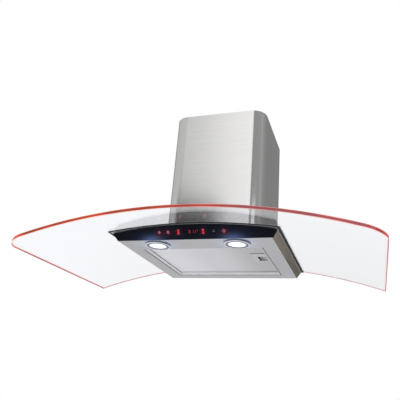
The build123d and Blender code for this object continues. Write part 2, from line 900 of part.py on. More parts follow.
# ---- blower chamber ---------------------------------------------------------
def wall_hole_places():
    heights = (wall_hole_low, chamber_height - wall_hole_drop)
    return [(side * wall_hole_spread, z) for side in (-1, 1) for z in heights]


def make_chassis_plate():
    plate = block(-half_chamber, half_chamber, -chassis_sheet, 0, 0, lid_low)
    plate -= under_arch(gasket_low)
    for x, z in wall_hole_places():
        plate -= along_y(x, -2 * chassis_sheet, chassis_sheet, z, wall_hole_radius)
    return plate


def lid_screw_places():
    x = half_chamber - chamber_flange / 2
    return [(s * x, -y) for s in (-1, 1) for y in (chamber_flange * 2, chamber_depth - chamber_flange)]


def make_chamber_shell():
    """Front and side walls with a flange turned in under the lid and one at the wall."""
    shell = u_shell(half_chamber, chamber_depth, 0, chamber_sheet, 0, lid_low)
    shell -= block(-half_chamber, half_chamber, -chassis_sheet, 1, -1, tall)
    for side in (-1, 1):
        inner = side * (half_chamber - chamber_flange)
        outer = side * half_chamber
        shell += block(
            inner, outer, -chamber_depth, -chassis_sheet, lid_low - chamber_sheet, lid_low
        )
        shell += block(
            inner, outer, -chassis_sheet - chamber_sheet, -chassis_sheet,
            gasket_low + upstand_height + seat_gap, lid_low,
        )
    shell -= under_arch(gasket_low)
    for x, z in wall_hole_places():
        shell -= along_y(x, -3 * chassis_sheet, 0, z, wall_hole_radius + 2.5)
    for x, y in lid_screw_places():
        shell -= upright(x, y, lid_low - 2, lid_top + 2, screw_radius + running_gap)
    return shell


def make_chamber_lid():
    lid = block(-half_chamber, half_chamber, -chamber_depth, 0, lid_low, lid_top)
    lid -= upright(0, spigot_y, lid_low - over, lid_top + over, spigot_radius - spigot_wall)
    for x, y in lid_screw_places():
        lid -= upright(x, y, lid_low - over, lid_top + over, screw_radius + running_gap)
    return lid


def make_chamber_screws():
    return Compound([Pos(x, y, lid_top) * screw(6.0) for x, y in lid_screw_places()])


# ---- blower -----------------------------------------------------------------
def from_side(outline, x0, x1):
    """Extrudes an outline drawn as (towards the front, up) round the impeller's axis."""
    plane = Plane(origin=(x1, blower_y, blower_height), x_dir=(0, -1, 0), z_dir=(-1, 0, 0))
    return plane * extrude(outline, x1 - x0)


def scroll_outline(inset):
    """Spiral of three quarter turns, each a step wider than the last, and an upright neck."""
    half = scroll_step / 2
    r1 = scroll_radius - inset
    r2 = r1 + scroll_step
    r3 = r2 + scroll_step
    slant = sqrt(0.5)
    top = lid_low - blower_height
    start = (-half, r1 - half)
    back = (-half - r1, -half)
    low = (half, -half - r2)
    front = (half + r3, half)
    corners = [front, (front[0], top), (inset - half, top), (inset - half, start[1])]
    if inset > 0:
        corners.append(start)
    return make_face([
        *ThreePointArc(start, (-half - r1 * slant, -half + r1 * slant), back).edges(),
        *ThreePointArc(back, (half - r2 * slant, -half - r2 * slant), low).edges(),
        *ThreePointArc(low, (half + r3 * slant, half - r3 * slant), front).edges(),
        *Polyline(*corners).edges(),
    ])


def make_scroll_half(side):
    """One moulded half of the blower housing, with its inlet and half of the neck's flange."""
    far = side * scroll_half_width
    near_wall = side * (scroll_half_width - scroll_wall)
    shell = from_side(scroll_outline(0), min(0, far), max(0, far))
    room = from_side(scroll_outline(scroll_wall), min(0, near_wall), max(0, near_wall))
    neck_back = blower_y + scroll_step / 2 + scroll_flange
    neck_front = blower_y - scroll_front - scroll_flange
    shell += block(
        0, far + side * scroll_flange, neck_front, neck_back,
        lid_low - scroll_flange_thickness, lid_low,
    )
    shell -= room
    lip_end = side * (scroll_half_width - scroll_wall - inlet_lip)
    shell += along_x(lip_end, far, blower_y, blower_height, scroll_inlet + scroll_wall)
    shell -= along_x(0, far + side, blower_y, blower_height, scroll_inlet)
    return shell


def make_impeller():
    """Double inlet drum: forward-curved blades between two rings, on a middle disc."""
    sweep = 2 * degrees(asin(blade_depth / 2 / blade_curve))
    outer = CenterArc((0, 0), blade_curve + blade_thickness / 2, 90 - sweep / 2, sweep)
    inner = CenterArc((0, 0), blade_curve - blade_thickness / 2, 90 - sweep / 2, sweep)
    blade = make_face([outer, Line(outer @ 1, inner @ 1), inner, Line(inner @ 0, outer @ 0)])
    blade = Rot(0, 0, blade_lean) * (Pos(0, -blade_curve) * blade)
    blade_middle = impeller_radius - blade_depth / 2
    blades = Sketch()
    for i in range(blade_count):
        blades += Rot(0, 0, i * 360 / blade_count) * (Pos(blade_middle, 0) * blade)
    end = impeller_half_length
    drum = from_side(Circle(impeller_radius), -hub_disc / 2, hub_disc / 2)
    drum += from_side(blades, -end, end)
    ring = Circle(impeller_radius) - Circle(impeller_radius - impeller_ring)
    drum += from_side(ring, end - impeller_ring, end)
    drum += from_side(ring, -end, impeller_ring - end)
    drum += from_side(Circle(hub_radius), -hub_length / 2, hub_length / 2)
    return drum - along_x(-hub_length, hub_length, blower_y, blower_height, shaft_radius + press_gap)


def make_motor_shaft():
    return along_x(
        -motor_far + motor_boss, hub_length / 2 + shaft_overrun, blower_y, blower_height, shaft_radius
    )


def make_motor():
    can = along_x(-motor_far, -motor_near, blower_y, blower_height, motor_radius)
    can = chamfer(can.edges().filter_by(GeomType.CIRCLE), 3.0)
    boss_end = -(motor_near + hub_length / 2) / 2
    can += along_x(-motor_near - over, boss_end, blower_y, blower_height, motor_boss)
    return can - along_x(
        -motor_far + motor_boss - seat_gap, 0, blower_y, blower_height, shaft_radius + running_gap
    )


def mount_spots():
    """Where the motor's three arms end: (towards the front, up) from the axis."""
    return [(mount_reach * cos(radians(a)), mount_reach * sin(radians(a))) for a in (30, 150, 270)]


def make_motor_bracket():
    plate = Circle(motor_radius + loose_gap + bracket_ring)
    for angle in (30, 150, 270):
        arm = Pos(mount_reach / 2, 0) * Rectangle(mount_reach, bracket_arm)
        plate += Rot(0, 0, angle) * arm
    for u, v in mount_spots():
        plate += Pos(u, v) * Circle(bracket_arm / 2)
    plate -= Circle(motor_radius + loose_gap)
    for u, v in mount_spots():
        plate -= Pos(u, v) * Circle(screw_radius + loose_gap)
    far = -scroll_half_width - mount_height
    return from_side(plate, far - bracket_plate, far)


def make_motor_mounts():
    mount = Circle(mount_radius) - Circle(screw_radius + loose_gap)
    mounts = []
    for u, v in mount_spots():
        ring = from_side(Pos(u, v) * mount, -scroll_half_width - mount_height, -scroll_half_width)
        mounts.append(ring.solid())
    return Compound(mounts)


def capacitor_x():
    return half_chamber - chamber_sheet - capacitor_radius - running_gap - strap_sheet


def make_capacitor():
    x, y, z = capacitor_x(), -capacitor_from_wall, capacitor_low
    can = upright(x, y, z, z + capacitor_length, capacitor_radius)
    can = fillet(can.edges().filter_by(GeomType.CIRCLE), 1.5)
    top = z + capacitor_length
    half_sheet, half_width = terminal_sheet / 2, terminal_width / 2
    for side in (-1, 1):
        blade_x = x + side * terminal_spread
        can += block(
            blade_x - half_sheet, blade_x + half_sheet, y - half_width, y + half_width,
            top - over, top + terminal_height,
        )
    return can


def make_capacitor_strap():
    x, y = capacitor_x(), -capacitor_from_wall
    low = capacitor_low + (capacitor_length - strap_height) / 2
    high = low + strap_height
    inner = capacitor_radius + running_gap
    wall = half_chamber - chamber_sheet
    strap = upright(x, y, low, high, inner + strap_sheet)
    foot = inner + strap_sheet + strap_foot
    strap += block(wall - strap_sheet, wall, y - foot, y + foot, low, high)
    return strap - upright(x, y, low - over, high + over, inner)


# ---- outlet -----------------------------------------------------------------
def make_outlet_collar():
    """Spigot for the duct with a ledge that the closed flaps lie on."""
    x, y = 0, spigot_y
    bore = spigot_radius - spigot_wall
    collar = upright(x, y, lid_top, lid_top + spigot_flange_thickness, spigot_flange)
    collar += upright(x, y, lid_top, lid_top + spigot_height, spigot_radius)
    collar -= upright(x, y, lid_top - over, lid_top + spigot_height + over, bore)
    ledge_top = damper_z - flap_thickness / 2 - seat_gap
    ledge = upright(x, y, ledge_top - 1.5, ledge_top, bore)
    ledge -= upright(x, y, ledge_top - 2 * over, ledge_top + over, bore - flap_ledge)
    collar += ledge
    room = knuckle_radius + seat_gap
    collar -= block(-bore, bore, y - room, y + room, ledge_top - 2 * over, ledge_top + over)
    pin_bore = damper_pin_radius + press_gap
    collar -= along_x(-spigot_radius - over, spigot_radius + over, y, damper_z, pin_bore)
    return collar


def make_damper_pin():
    reach = spigot_radius - seat_gap
    return along_x(-reach, reach, spigot_y, damper_z, damper_pin_radius)


def make_damper_flap(side):
    """Half disc with two knuckles on the pin: -1 opens at the front, 1 at the rear."""
    radius = spigot_radius - spigot_wall - flap_gap
    half = flap_thickness / 2
    disc = upright(0, spigot_y, damper_z - half, damper_z + half, radius)
    root = spigot_y + side * flap_root
    flap = disc & block(-radius, radius, root, root + side * 2 * radius, 0, tall)
    for i in (-1.5, 0.5):
        x = -side * i * knuckle_pitch
        x0, x1 = x - knuckle_length / 2, x + knuckle_length / 2
        flap += along_x(x0, x1, spigot_y, damper_z, knuckle_radius)
        flap += block(x0, x1, spigot_y, root + side, damper_z - half, damper_z + half)
    return flap - along_x(-radius, radius, spigot_y, damper_z, damper_pin_radius + running_gap)


# ---- control box ------------------------------------------------------------
def box_block(inset, low, high):
    return block(
        -box_width / 2 + inset, box_width / 2 - inset,
        -box_from_wall - box_depth + inset, -box_from_wall - inset, low, high,
    )


def box_post_places():
    x = box_width / 2 - box_wall - box_post
    reach = box_depth / 2 - box_wall - box_post
    return [(sx * x, box_middle + sy * reach) for sx in (-1, 1) for sy in (-1, 1)]


def make_control_box():
    box = box_block(0, lid_top, lid_top + box_height)
    box -= box_block(box_wall, lid_top + box_wall, lid_top + box_height + over)
    for x, y in box_post_places():
        box += upright(x, y, lid_top, lid_top + box_wall + box_post, box_post)
    return box


def make_control_box_lid():
    low = lid_top + box_height
    high = low + box_wall
    lid = box_block(0, low, high)
    rim = box_block(box_wall + loose_gap, low - lid_rim, low)
    lid += rim - box_block(2 * box_wall, low - lid_rim - over, low)
    return lid - upright(gland_place, box_middle, low - over, high + over, gland_radius + loose_gap)


def make_power_board():
    low = lid_top + box_wall + box_post
    board = box_block(box_wall + loose_gap + 0.5, low, low + board_thickness)
    top = low + board_thickness
    for x, width, depth, height in power_parts:
        board += block(
            x - width / 2, x + width / 2, box_middle - depth / 2, box_middle + depth / 2,
            top, top + height,
        )
    return board


def make_cable_gland():
    face = lid_top + box_height + box_wall
    low, high = face - box_wall - gland_inside, face + gland_length
    gland = upright(gland_place, box_middle, low, high, gland_radius)
    hexagon = extrude(RegularPolygon(gland_hex, 6), gland_hex_height)
    gland += Pos(gland_place, box_middle, face) * hexagon
    return gland - upright(gland_place, box_middle, low - over, high + over, gland_bore)


# ---- chimney covers ---------------------------------------------------------
def make_lower_cover():
    cover = u_shell(half_cover, cover_depth, cover_corner, cover_sheet, 0, cover_top)
    cover -= under_arch(glass_top + cover_lift)
    inner = half_cover - cover_sheet
    for side, y in lug_places():
        cover += along_x(side * (inner + 0.5), side * (inner - stud_length), y, stud_height, stud_radius)
    return cover


def make_cover_guides():
    """Pads inside the lower cover that the upper cover slides along."""
    wall = half_cover - cover_sheet
    pad = upper_gap - seat_gap
    high = upper_top - seat_gap
    low = high - guide_height
    half = guide_length / 2
    pads = []
    for side, y in lug_places():
        pads.append(block(side * wall, side * (wall - pad), y - half, y + half, low, high))
    front = -cover_depth + cover_sheet
    for x in (-wall / 2, wall / 2):
        pads.append(block(x - half, x + half, front, front + pad, low, high))
    return Compound(pads)


def bracket_screw_places():
    z = upper_top - bracket_drop - bracket_height / 2
    return [(side, -bracket_ear / 2, z) for side in (-1, 1)]


def make_upper_cover():
    cover = u_shell(
        upper_half, upper_depth, cover_corner - cover_sheet - upper_gap, upper_sheet,
        upper_low, upper_top,
    )
    for side, y, z in bracket_screw_places():
        cover -= along_x(
            side * (upper_half - 2), side * (upper_half + over), y, z, screw_head_radius + running_gap
        )
    return cover


def make_cover_bracket():
    reach = upper_half - upper_sheet - seat_gap
    high = upper_top - bracket_drop
    low = high - bracket_height
    bracket = block(-reach, reach, -chassis_sheet, 0, low, high)
    for side in (-1, 1):
        bracket += block(side * (reach - chassis_sheet), side * reach, -bracket_ear, 0, low, high)
        bracket -= along_y(side * half_cover / 2, -5, 5, (low + high) / 2, wall_hole_radius)
    for side, y, z in bracket_screw_places():
        bracket -= along_x(side * (reach - 5), side * half_cover, y, z, screw_radius + press_gap)
    return bracket


def make_cover_screws():
    screws = []
    for side, y, z in bracket_screw_places():
        face = side * upper_half
        inner = side * (upper_half - upper_sheet)
        pin = along_x(face, inner, y, z, screw_head_radius)
        pin += along_x(inner, side * (upper_half - 7.0), y, z, screw_radius)
        screws.append(pin.solid())
    return Compound(screws)


# ---- all pieces -------------------------------------------------------------
pieces = {
    "glass_canopy": make_glass(),
    "glass_gasket": make_glass_gasket(),
    "glass_bushes": make_glass_bushes(),
    "clamp_gasket": make_clamp(glass_top, clamp_low, clamp_bolt_radius + loose_gap),
    "clamp_frame": make_clamp_frame(),
    "clamp_bolts": make_clamp_bolts(),
    "clamp_nuts": make_clamp_nuts(),
    "edge_light_strips": make_edge_light_strips(),
    "bottom_pan": make_bottom_pan(),
    "rear_plate": make_rear_plate(),
    "deck_plate": make_deck(),
    "deck_pillars": make_deck_pillars(),
    "control_panel": make_control_panel(),
    "key_marks": make_key_marks(),
    "display_window": make_display_window(),
    "touch_board": make_touch_board(),
    "panel_rail": make_panel_rail(),
    "lamp_boards": make_lamp_boards(),
    "lamp_clips": make_lamp_clips(),
    "filter_frame": make_filter_frame(),
    "filter_face": make_filter_face(),
    "filter_mesh": make_filter_mesh(),
    "latch_plate": make_latch_plate(),
    "latch_slider": make_latch_slider(),
    "latch_spring": make_latch_spring(),
    "chassis_plate": make_chassis_plate(),
    "chamber_shell": make_chamber_shell(),
    "chamber_lid": make_chamber_lid(),
    "chamber_screws": make_chamber_screws(),
    "impeller": make_impeller(),
    "motor_shaft": make_motor_shaft(),
    "motor": make_motor(),
    "motor_bracket": make_motor_bracket(),
    "motor_mounts": make_motor_mounts(),
    "run_capacitor": make_capacitor(),
    "capacitor_strap": make_capacitor_strap(),
    "outlet_collar": make_outlet_collar(),
    "damper_pin": make_damper_pin(),
    "control_box": make_control_box(),
    "control_box_lid": make_control_box_lid(),
    "power_board": make_power_board(),
    "cable_gland": make_cable_gland(),
    "lower_cover": make_lower_cover(),
    "cover_nuts": make_cover_nuts(),
    "cover_guides": make_cover_guides(),
    "upper_cover": make_upper_cover(),
    "cover_bracket": make_cover_bracket(),
    "cover_screws": make_cover_screws(),
}
for name, side in (("left", -1), ("right", 1)):
    pieces[f"side_plate_{name}"] = make_side_plate(side)
    pieces[f"scroll_{name}"] = make_scroll_half(side)
for name, x in lamp_places():
    pieces[f"lamp_bezel_{name}"] = make_lamp_bezel(x)
    pieces[f"lamp_lens_{name}"] = make_lamp_lens(x)
    pieces[f"lamp_heatsink_{name}"] = make_lamp_heatsink(x)
for name, side in (("front", -1), ("rear", 1)):
    pieces[f"damper_flap_{name}"] = make_damper_flap(side)

os.makedirs("parts", exist_ok=True)
for name, piece in pieces.items():
    export_step(piece, f"parts/{name}.step")
    print(name, len(piece.solids()), round(piece.volume, 1))
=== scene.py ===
import math

import bmesh
import bpy
from mathutils import Matrix, Vector


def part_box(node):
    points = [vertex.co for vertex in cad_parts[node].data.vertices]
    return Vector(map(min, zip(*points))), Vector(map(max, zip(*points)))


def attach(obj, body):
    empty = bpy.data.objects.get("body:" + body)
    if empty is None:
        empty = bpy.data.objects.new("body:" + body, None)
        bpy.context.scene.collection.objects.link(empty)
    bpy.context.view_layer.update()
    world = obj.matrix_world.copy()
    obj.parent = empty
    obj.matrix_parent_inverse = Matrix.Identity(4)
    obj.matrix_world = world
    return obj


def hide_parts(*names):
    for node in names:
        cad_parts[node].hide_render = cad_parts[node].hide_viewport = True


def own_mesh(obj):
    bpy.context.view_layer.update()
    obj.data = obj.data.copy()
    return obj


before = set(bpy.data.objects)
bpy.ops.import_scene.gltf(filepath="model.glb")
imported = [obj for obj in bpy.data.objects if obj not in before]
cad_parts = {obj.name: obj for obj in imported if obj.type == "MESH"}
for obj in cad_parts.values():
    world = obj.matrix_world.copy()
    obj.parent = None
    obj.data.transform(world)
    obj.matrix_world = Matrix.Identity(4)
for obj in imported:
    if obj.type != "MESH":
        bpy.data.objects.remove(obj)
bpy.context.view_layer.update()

# Curved glass range hood. Metres, in the frame of the CAD: +X right, the wall is
# y = 0, the front is -Y, +Z up.
MM = 0.001


# ---- small helpers ----------------------------------------------------------
def linear(hex_colour):
    """An sRGB hex colour as linear RGBA."""
    parts = [int(hex_colour[i:i + 2], 16) / 255 for i in (1, 3, 5)]
    return [c / 12.92 if c <= 0.04045 else ((c + 0.055) / 1.055) ** 2.4 for c in parts] + [1.0]


def darker(hex_colour, share):
    """A colour with only that share of its light."""
    return [c * share for c in linear(hex_colour)[:3]] + [1.0]


def add(tree, kind, inputs=None, **settings):
    """Adds a node, makes its settings, and fills its sockets with values or links."""
    new = tree.nodes.new(kind)
    for name, value in settings.items():
        setattr(new, name, value)
    for socket, value in (inputs or {}).items():
        if isinstance(value, bpy.types.NodeSocket):
            tree.links.new(value, new.inputs[socket])
        else:
            new.inputs[socket].default_value = value
    return new


def new_material(name):
    """An empty node material, its tree, and the object's own coordinates in metres."""
    material = bpy.data.materials.new(name)
    material.use_nodes = True
    tree = material.node_tree
    tree.nodes.clear()
    place = add(tree, "ShaderNodeTexCoord").outputs["Object"]
    return material, tree, place


def close(material, tree, shader):
    """Links the last shader to the surface."""
    add(tree, "ShaderNodeOutputMaterial", {"Surface": shader.outputs[0]})
    return material


def surface(material, tree, inputs):
    """Finishes a material with one principled shader."""
    return close(material, tree, add(tree, "ShaderNodeBsdfPrincipled", inputs))


def coordinate(tree, place, axis):
    """X, Y or Z of a place."""
    return add(tree, "ShaderNodeSeparateXYZ", {"Vector": place}).outputs[axis]


def length_of(tree, vector):
    """How long a vector is."""
    return add(tree, "ShaderNodeVectorMath", {0: vector}, operation="LENGTH").outputs["Value"]


def grain(tree, place, mm_per_axis, detail=2.0):
    """Noise whose grain is that many millimetres long on each axis."""
    scale = [1 / (mm * MM) for mm in mm_per_axis]
    mapped = add(tree, "ShaderNodeMapping", {"Vector": place, "Scale": scale})
    return add(tree, "ShaderNodeTexNoise", {
        "Vector": mapped.outputs[0], "Scale": 1.0, "Detail": detail, "Roughness": 0.5,
    }).outputs["Fac"]


def spread(tree, value, low, high, start=0.0, end=1.0):
    """A value from start..end brought to low..high."""
    return add(tree, "ShaderNodeMapRange", {
        "Value": value, "From Min": start, "From Max": end, "To Min": low, "To Max": high,
    }).outputs["Result"]


def vary(tree, noise, low, high):
    """Noise, which stays within about 0.3..0.7, brought to low..high."""
    return spread(tree, noise, low, high, 0.3, 0.7)


def blend_colours(tree, fac, first, second):
    """One colour where fac is 0 and the other where it is 1."""
    return add(tree, "ShaderNodeMix", {0: fac, 6: first, 7: second}, data_type="RGBA").outputs[2]


def calculate(tree, operation, *values):
    """A math node on values or sockets."""
    return add(tree, "ShaderNodeMath", dict(enumerate(values)), operation=operation).outputs[0]


def ramp(tree, fac, stops):
    """A value read from (place, value) stops, smooth between them; places run 0..1."""
    top = max(value for _, value in stops)
    node = add(tree, "ShaderNodeValToRGB", {"Fac": fac})
    node.color_ramp.interpolation = "EASE"
    elements = node.color_ramp.elements
    while len(elements) < len(stops):
        elements.new(1.0)
    for element, (at, value) in zip(elements, stops):
        element.position = at
        element.color = [value / top] * 3 + [1.0]
    return calculate(tree, "MULTIPLY", node.outputs["Color"], top)


def halo(tree, place, centre, reach_mm):
    """1 at a point, falling off smoothly over that many millimetres on each axis."""
    away = add(tree, "ShaderNodeVectorMath", {0: place, 1: centre}, operation="SUBTRACT").outputs[0]
    reach = [mm * MM for mm in reach_mm]
    away = add(tree, "ShaderNodeVectorMath", {0: away, 1: reach}, operation="DIVIDE").outputs[0]
    squared = add(tree, "ShaderNodeVectorMath", {0: away, 1: away}, operation="DOT_PRODUCT")
    return calculate(tree, "EXPONENT", calculate(tree, "MULTIPLY", squared.outputs["Value"], -1.0))


def total(tree, values):
    """The sum of several values."""
    result = values[0]
    for value in values[1:]:
        result = calculate(tree, "ADD", result, value)
    return result


def bumped(tree, height, mm, strength):
    """A normal from a height that stands that many millimetres."""
    return add(tree, "ShaderNodeBump", {
        "Height": height, "Distance": mm * MM, "Strength": strength,
    }).outputs[0]


# ---- camera -----------------------------------------------------------------
# where it stands, how far it is turned to the left, up and about its own axis in
# radians, and its lens and sensor in mm
CAMERA_PLACE = (0.4129, -1.5006, -0.3625)
CAMERA_TURNS = (0.347, 0.378, 0.084)
CAMERA_LENS = 45.235
SENSOR_WIDTH = 36.0


def place_camera():
    """The photograph's viewpoint: low, to the right, looking up and to the left."""
    yaw, pitch, roll = CAMERA_TURNS
    forward = Vector((-math.sin(yaw) * math.cos(pitch),
                      math.cos(yaw) * math.cos(pitch), math.sin(pitch)))
    level = Vector((math.cos(yaw), math.sin(yaw), 0.0))
    upward = level.cross(forward)
    right = math.cos(roll) * level + math.sin(roll) * upward
    up = math.cos(roll) * upward - math.sin(roll) * level
    camera = bpy.data.objects.new("camera", bpy.data.cameras.new("camera"))
    camera.data.sensor_width = SENSOR_WIDTH
    camera.data.lens = CAMERA_LENS
    camera.data.clip_start = 0.01
    turn = Matrix((right, up, -forward)).transposed().to_4x4()
    camera.matrix_world = Matrix.Translation(CAMERA_PLACE) @ turn
    bpy.context.collection.objects.link(camera)
    bpy.context.scene.camera = camera


# ---- studio -----------------------------------------------------------------
FLOOR_Z = -0.75
FLOOR_HALF = 30.0
# how far from the object the floor turns plain white, and how far to its right
# it turns dim where metal mirrors it, in metres
FLOOR_WHITE = (2.0, 4.5)
FLOOR_DIM = (1.0, 1.8)

# brightness of the studio's walls by direction: degrees to the right of the front
STUDIO_LEVELS = (
    (-180, 0.28), (-130, 0.34), (-106, 0.72), (-34, 0.8), (-24, 0.86), (-14, 1.36), (8, 1.36),
    (19, 0.42), (80, 0.46), (92, 0.56), (104, 0.46), (140, 0.36), (180, 0.26),
)
# over what range each edge of the black board is soft: degrees to the right of
# the front, and heights as the sine of the elevation
BOARD_LEFT, BOARD_RIGHT = (-62, -30), (-18, -16.4)
BOARD_FOOT, BOARD_TOP = (0.16, 0.2), (0.345, 0.375)
# over what range, again as the sine of the elevation, its walls turn into a bright ceiling
CEILING = (0.7, 0.95)

WHITE = (1, 1, 1, 1)


def between(tree, value, rise, fall):
    """1 between two soft edges, each given by its range, and 0 outside them."""
    falling = spread(tree, value, 1.0, 0.0, *fall)
    return calculate(tree, "MULTIPLY", falling, spread(tree, value, 0.0, 1.0, *rise))


def seen_straight(tree, path):
    """1 where the camera looks at something directly or through glass."""
    rays = path.outputs["Is Camera Ray"], path.outputs["Is Transmission Ray"]
    return calculate(tree, "MAXIMUM", *rays)


def make_world():
    """A white studio: plain white behind the object, dimmer by direction in reflections."""
    world = bpy.data.worlds.new("studio")
    world.use_nodes = True
    bpy.context.scene.world = world
    tree = world.node_tree
    tree.nodes.clear()
    way = add(tree, "ShaderNodeTexCoord").outputs["Generated"]
    axes = add(tree, "ShaderNodeSeparateXYZ", {"Vector": way})
    ahead = calculate(tree, "MULTIPLY", axes.outputs["Y"], -1.0)
    turn = calculate(tree, "ARCTAN2", axes.outputs["X"], ahead)
    round_studio = spread(tree, turn, 0.0, 1.0, -math.pi, math.pi)
    walls = ramp(tree, round_studio, [
        (0.5 + degrees / 360, level) for degrees, level in STUDIO_LEVELS
    ])
    # a black board stands a little left of the front
    left, right = ([math.radians(degrees) for degrees in edge] for edge in (BOARD_LEFT, BOARD_RIGHT))
    beside = between(tree, turn, left, right)
    upright = between(tree, axes.outputs["Z"], BOARD_FOOT, BOARD_TOP)
    board = calculate(tree, "MULTIPLY", beside, upright)
    walls = calculate(tree, "MULTIPLY", walls, calculate(tree, "SUBTRACT", 1.0, board))
    overhead = spread(tree, axes.outputs["Z"], 0.0, 1.0, *CEILING)
    level = add(tree, "ShaderNodeMix", {0: overhead, 2: walls, 3: 1.0}).outputs[0]
    colour = blend_colours(tree, overhead, linear("#FBFAF8"), linear("#FFFFFF"))
    studio = add(tree, "ShaderNodeBackground", {"Color": colour, "Strength": level})
    plain = add(tree, "ShaderNodeBackground", {"Color": WHITE, "Strength": 1.0})
    seen = seen_straight(tree, add(tree, "ShaderNodeLightPath"))
    mix = add(tree, "ShaderNodeMixShader", {0: seen, 1: studio.outputs[0], 2: plain.outputs[0]})
    add(tree, "ShaderNodeOutputWorld", {"Surface": mix.outputs[0]})


def make_floor():
    """A pale matt floor that runs out to plain white far from the object."""
    mesh = bpy.data.meshes.new("floor")
    corners = [(x * FLOOR_HALF, y * FLOOR_HALF, FLOOR_Z)
               for x, y in ((-1, -1), (1, -1), (1, 1), (-1, 1))]
    mesh.from_pydata(corners, [], [(0, 1, 2, 3)])
    floor = bpy.data.objects.new("floor", mesh)
    bpy.context.collection.objects.link(floor)
    material, tree, place = new_material("matt_white_floor")
    far = spread(tree, length_of(tree, place), 0.0, 1.0, *FLOOR_WHITE)
    path = add(tree, "ShaderNodeLightPath")
    # the floor at the right is dimmer, but only where the metal mirrors it
    across = spread(tree, coordinate(tree, place, "X"), 0.0, 1.0, *FLOOR_DIM)
    mirrored = calculate(tree, "MULTIPLY", path.outputs["Is Glossy Ray"],
                         calculate(tree, "SUBTRACT", 1.0, path.outputs["Is Transmission Ray"]))
    dim = calculate(tree, "MULTIPLY", across, mirrored)
    matt = add(tree, "ShaderNodeBsdfPrincipled", {
        "Base Color": blend_colours(tree, dim, linear("#F1F1F3"), linear("#6E6C66")),
        "Roughness": 0.9, "Specular IOR Level": 0.2,
    })
    white = add(tree, "ShaderNodeEmission", {"Color": WHITE, "Strength": 1.0})
    seen = calculate(tree, "MULTIPLY", far, seen_straight(tree, path))
    mesh.materials.append(close(material, tree, add(tree, "ShaderNodeMixShader", {
        0: seen, 1: matt.outputs[0], 2: white.outputs[0],
    })))


def softbox(name, place, size, watts):
    """A square soft box that faces the object."""
    light = bpy.data.lights.new(name, "AREA")
    light.shape = "SQUARE"
    light.size = size
    light.energy = watts
    lamp = bpy.data.objects.new(name, light)
    way = Vector((0.0, -0.3, 0.0)) - Vector(place)
    turn = way.to_track_quat("-Z", "Y").to_matrix().to_4x4()
    lamp.matrix_world = Matrix.Translation(place) @ turn
    bpy.context.collection.objects.link(lamp)


def light_studio():
    """A large soft box overhead, and a weak one at the front right."""
    softbox("key_softbox", (0.1, -0.7, 3.2), 2.6, 66)
    softbox("fill_softbox", (2.0, -2.4, 0.5), 1.4, 6)


# ---- places -----------------------------------------------------------------
# the arch of the glass: the radius of the middle of its thickness, that middle's
# height, and the radius of its front corners
ARCH_RADIUS = 1417.96 * MM
GLASS_MIDDLE = 40.2 * MM
CANOPY_CORNER = 45 * MM
# the control panel's sloping face: the y of its foot in mm, its lean, and how far up
# its slope the keys are, in mm
FASCIA_FOOT = -397.0
FASCIA_LEAN = math.radians(31)
KEY_ROW = 19.5
# the marks on that row, in mm to the right of the middle
FLOWER, RING, BARS, FAN, DIAMOND = -83, -59.5, (-32, 32), 59, 84.5
LIT_MARKS = (FLOWER, RING, *BARS, DIAMOND)
# how far each lamp's axis is to the side, and its y
LAMP_SIDE = 105 * MM
LAMP_FRONT = -357 * MM
# over what radius in mm a lens dims towards its rim, and a bezel turns black outside
LENS_RIM = (13.0, 24.6)
LIP_RIM = (28.0, 28.4)


def fascia(u, v, out=0.0):
    """A point on the control panel, in mm: from the middle, up its slope, out of its face."""
    s, c = math.sin(FASCIA_LEAN), math.cos(FASCIA_LEAN)
    return Vector((u, FASCIA_FOOT - v * s - out * c, v * c - out * s)) * MM


# ---- materials --------------------------------------------------------------
def brushed_stainless(name, across, colour, roughness, painted_glow_reach=None):
    """304 stainless sheet, brushed with an abrasive belt: long faint lines one way, a soft sheen.

    The lines are about 0.7 mm apart here, coarser than the real 0.1 mm, so that they show.
    """
    material, tree, place = new_material(name)
    length, line, fine = 220.0, 0.7, 0.3
    long_lines = [line if axis in across else length for axis in "xyz"]
    fine_lines = [fine if axis in across else length / 3 for axis in "xyz"]
    both = calculate(tree, "ADD", grain(tree, place, long_lines), grain(tree, place, fine_lines))
    both = calculate(tree, "MULTIPLY", both, 0.5)
    smudge = grain(tree, place, (90.0, 90.0, 90.0))
    dark = darker(colour, 0.88)
    sheet = blend_colours(tree, vary(tree, both, 0.0, 1.0), dark, linear(colour))
    if painted_glow_reach:
        # painted shade: above its brushed face, where the walls of the filter's bay rise, the pan
        # turns near black
        painted_bay_shade = spread(tree, coordinate(tree, place, "Z"), 0.0, 1.0, 0.02 * MM, 0.1 * MM)
        sheet = blend_colours(tree, painted_bay_shade, sheet, linear("#26262A"))
    inputs = {
        "Base Color": sheet,
        "Metallic": 1.0,
        "Roughness": calculate(tree, "ADD", vary(tree, both, roughness - 0.02, roughness + 0.02),
                               vary(tree, smudge, -0.015, 0.015)),
        "Anisotropic": 0.5, "Anisotropic Rotation": 0.25 if "z" in across else 0.0,
        "Normal": bumped(tree, both, 0.002, 0.05),
    }
    if painted_glow_reach:
        # painted light: a blue glow round the lamps, as emission on the pan
        inputs["Emission Color"] = linear("#7F9BE6")
        inputs["Emission Strength"] = calculate(tree, "MULTIPLY", lamp_glow(tree, place, painted_glow_reach), 0.4)
    return surface(material, tree, inputs)


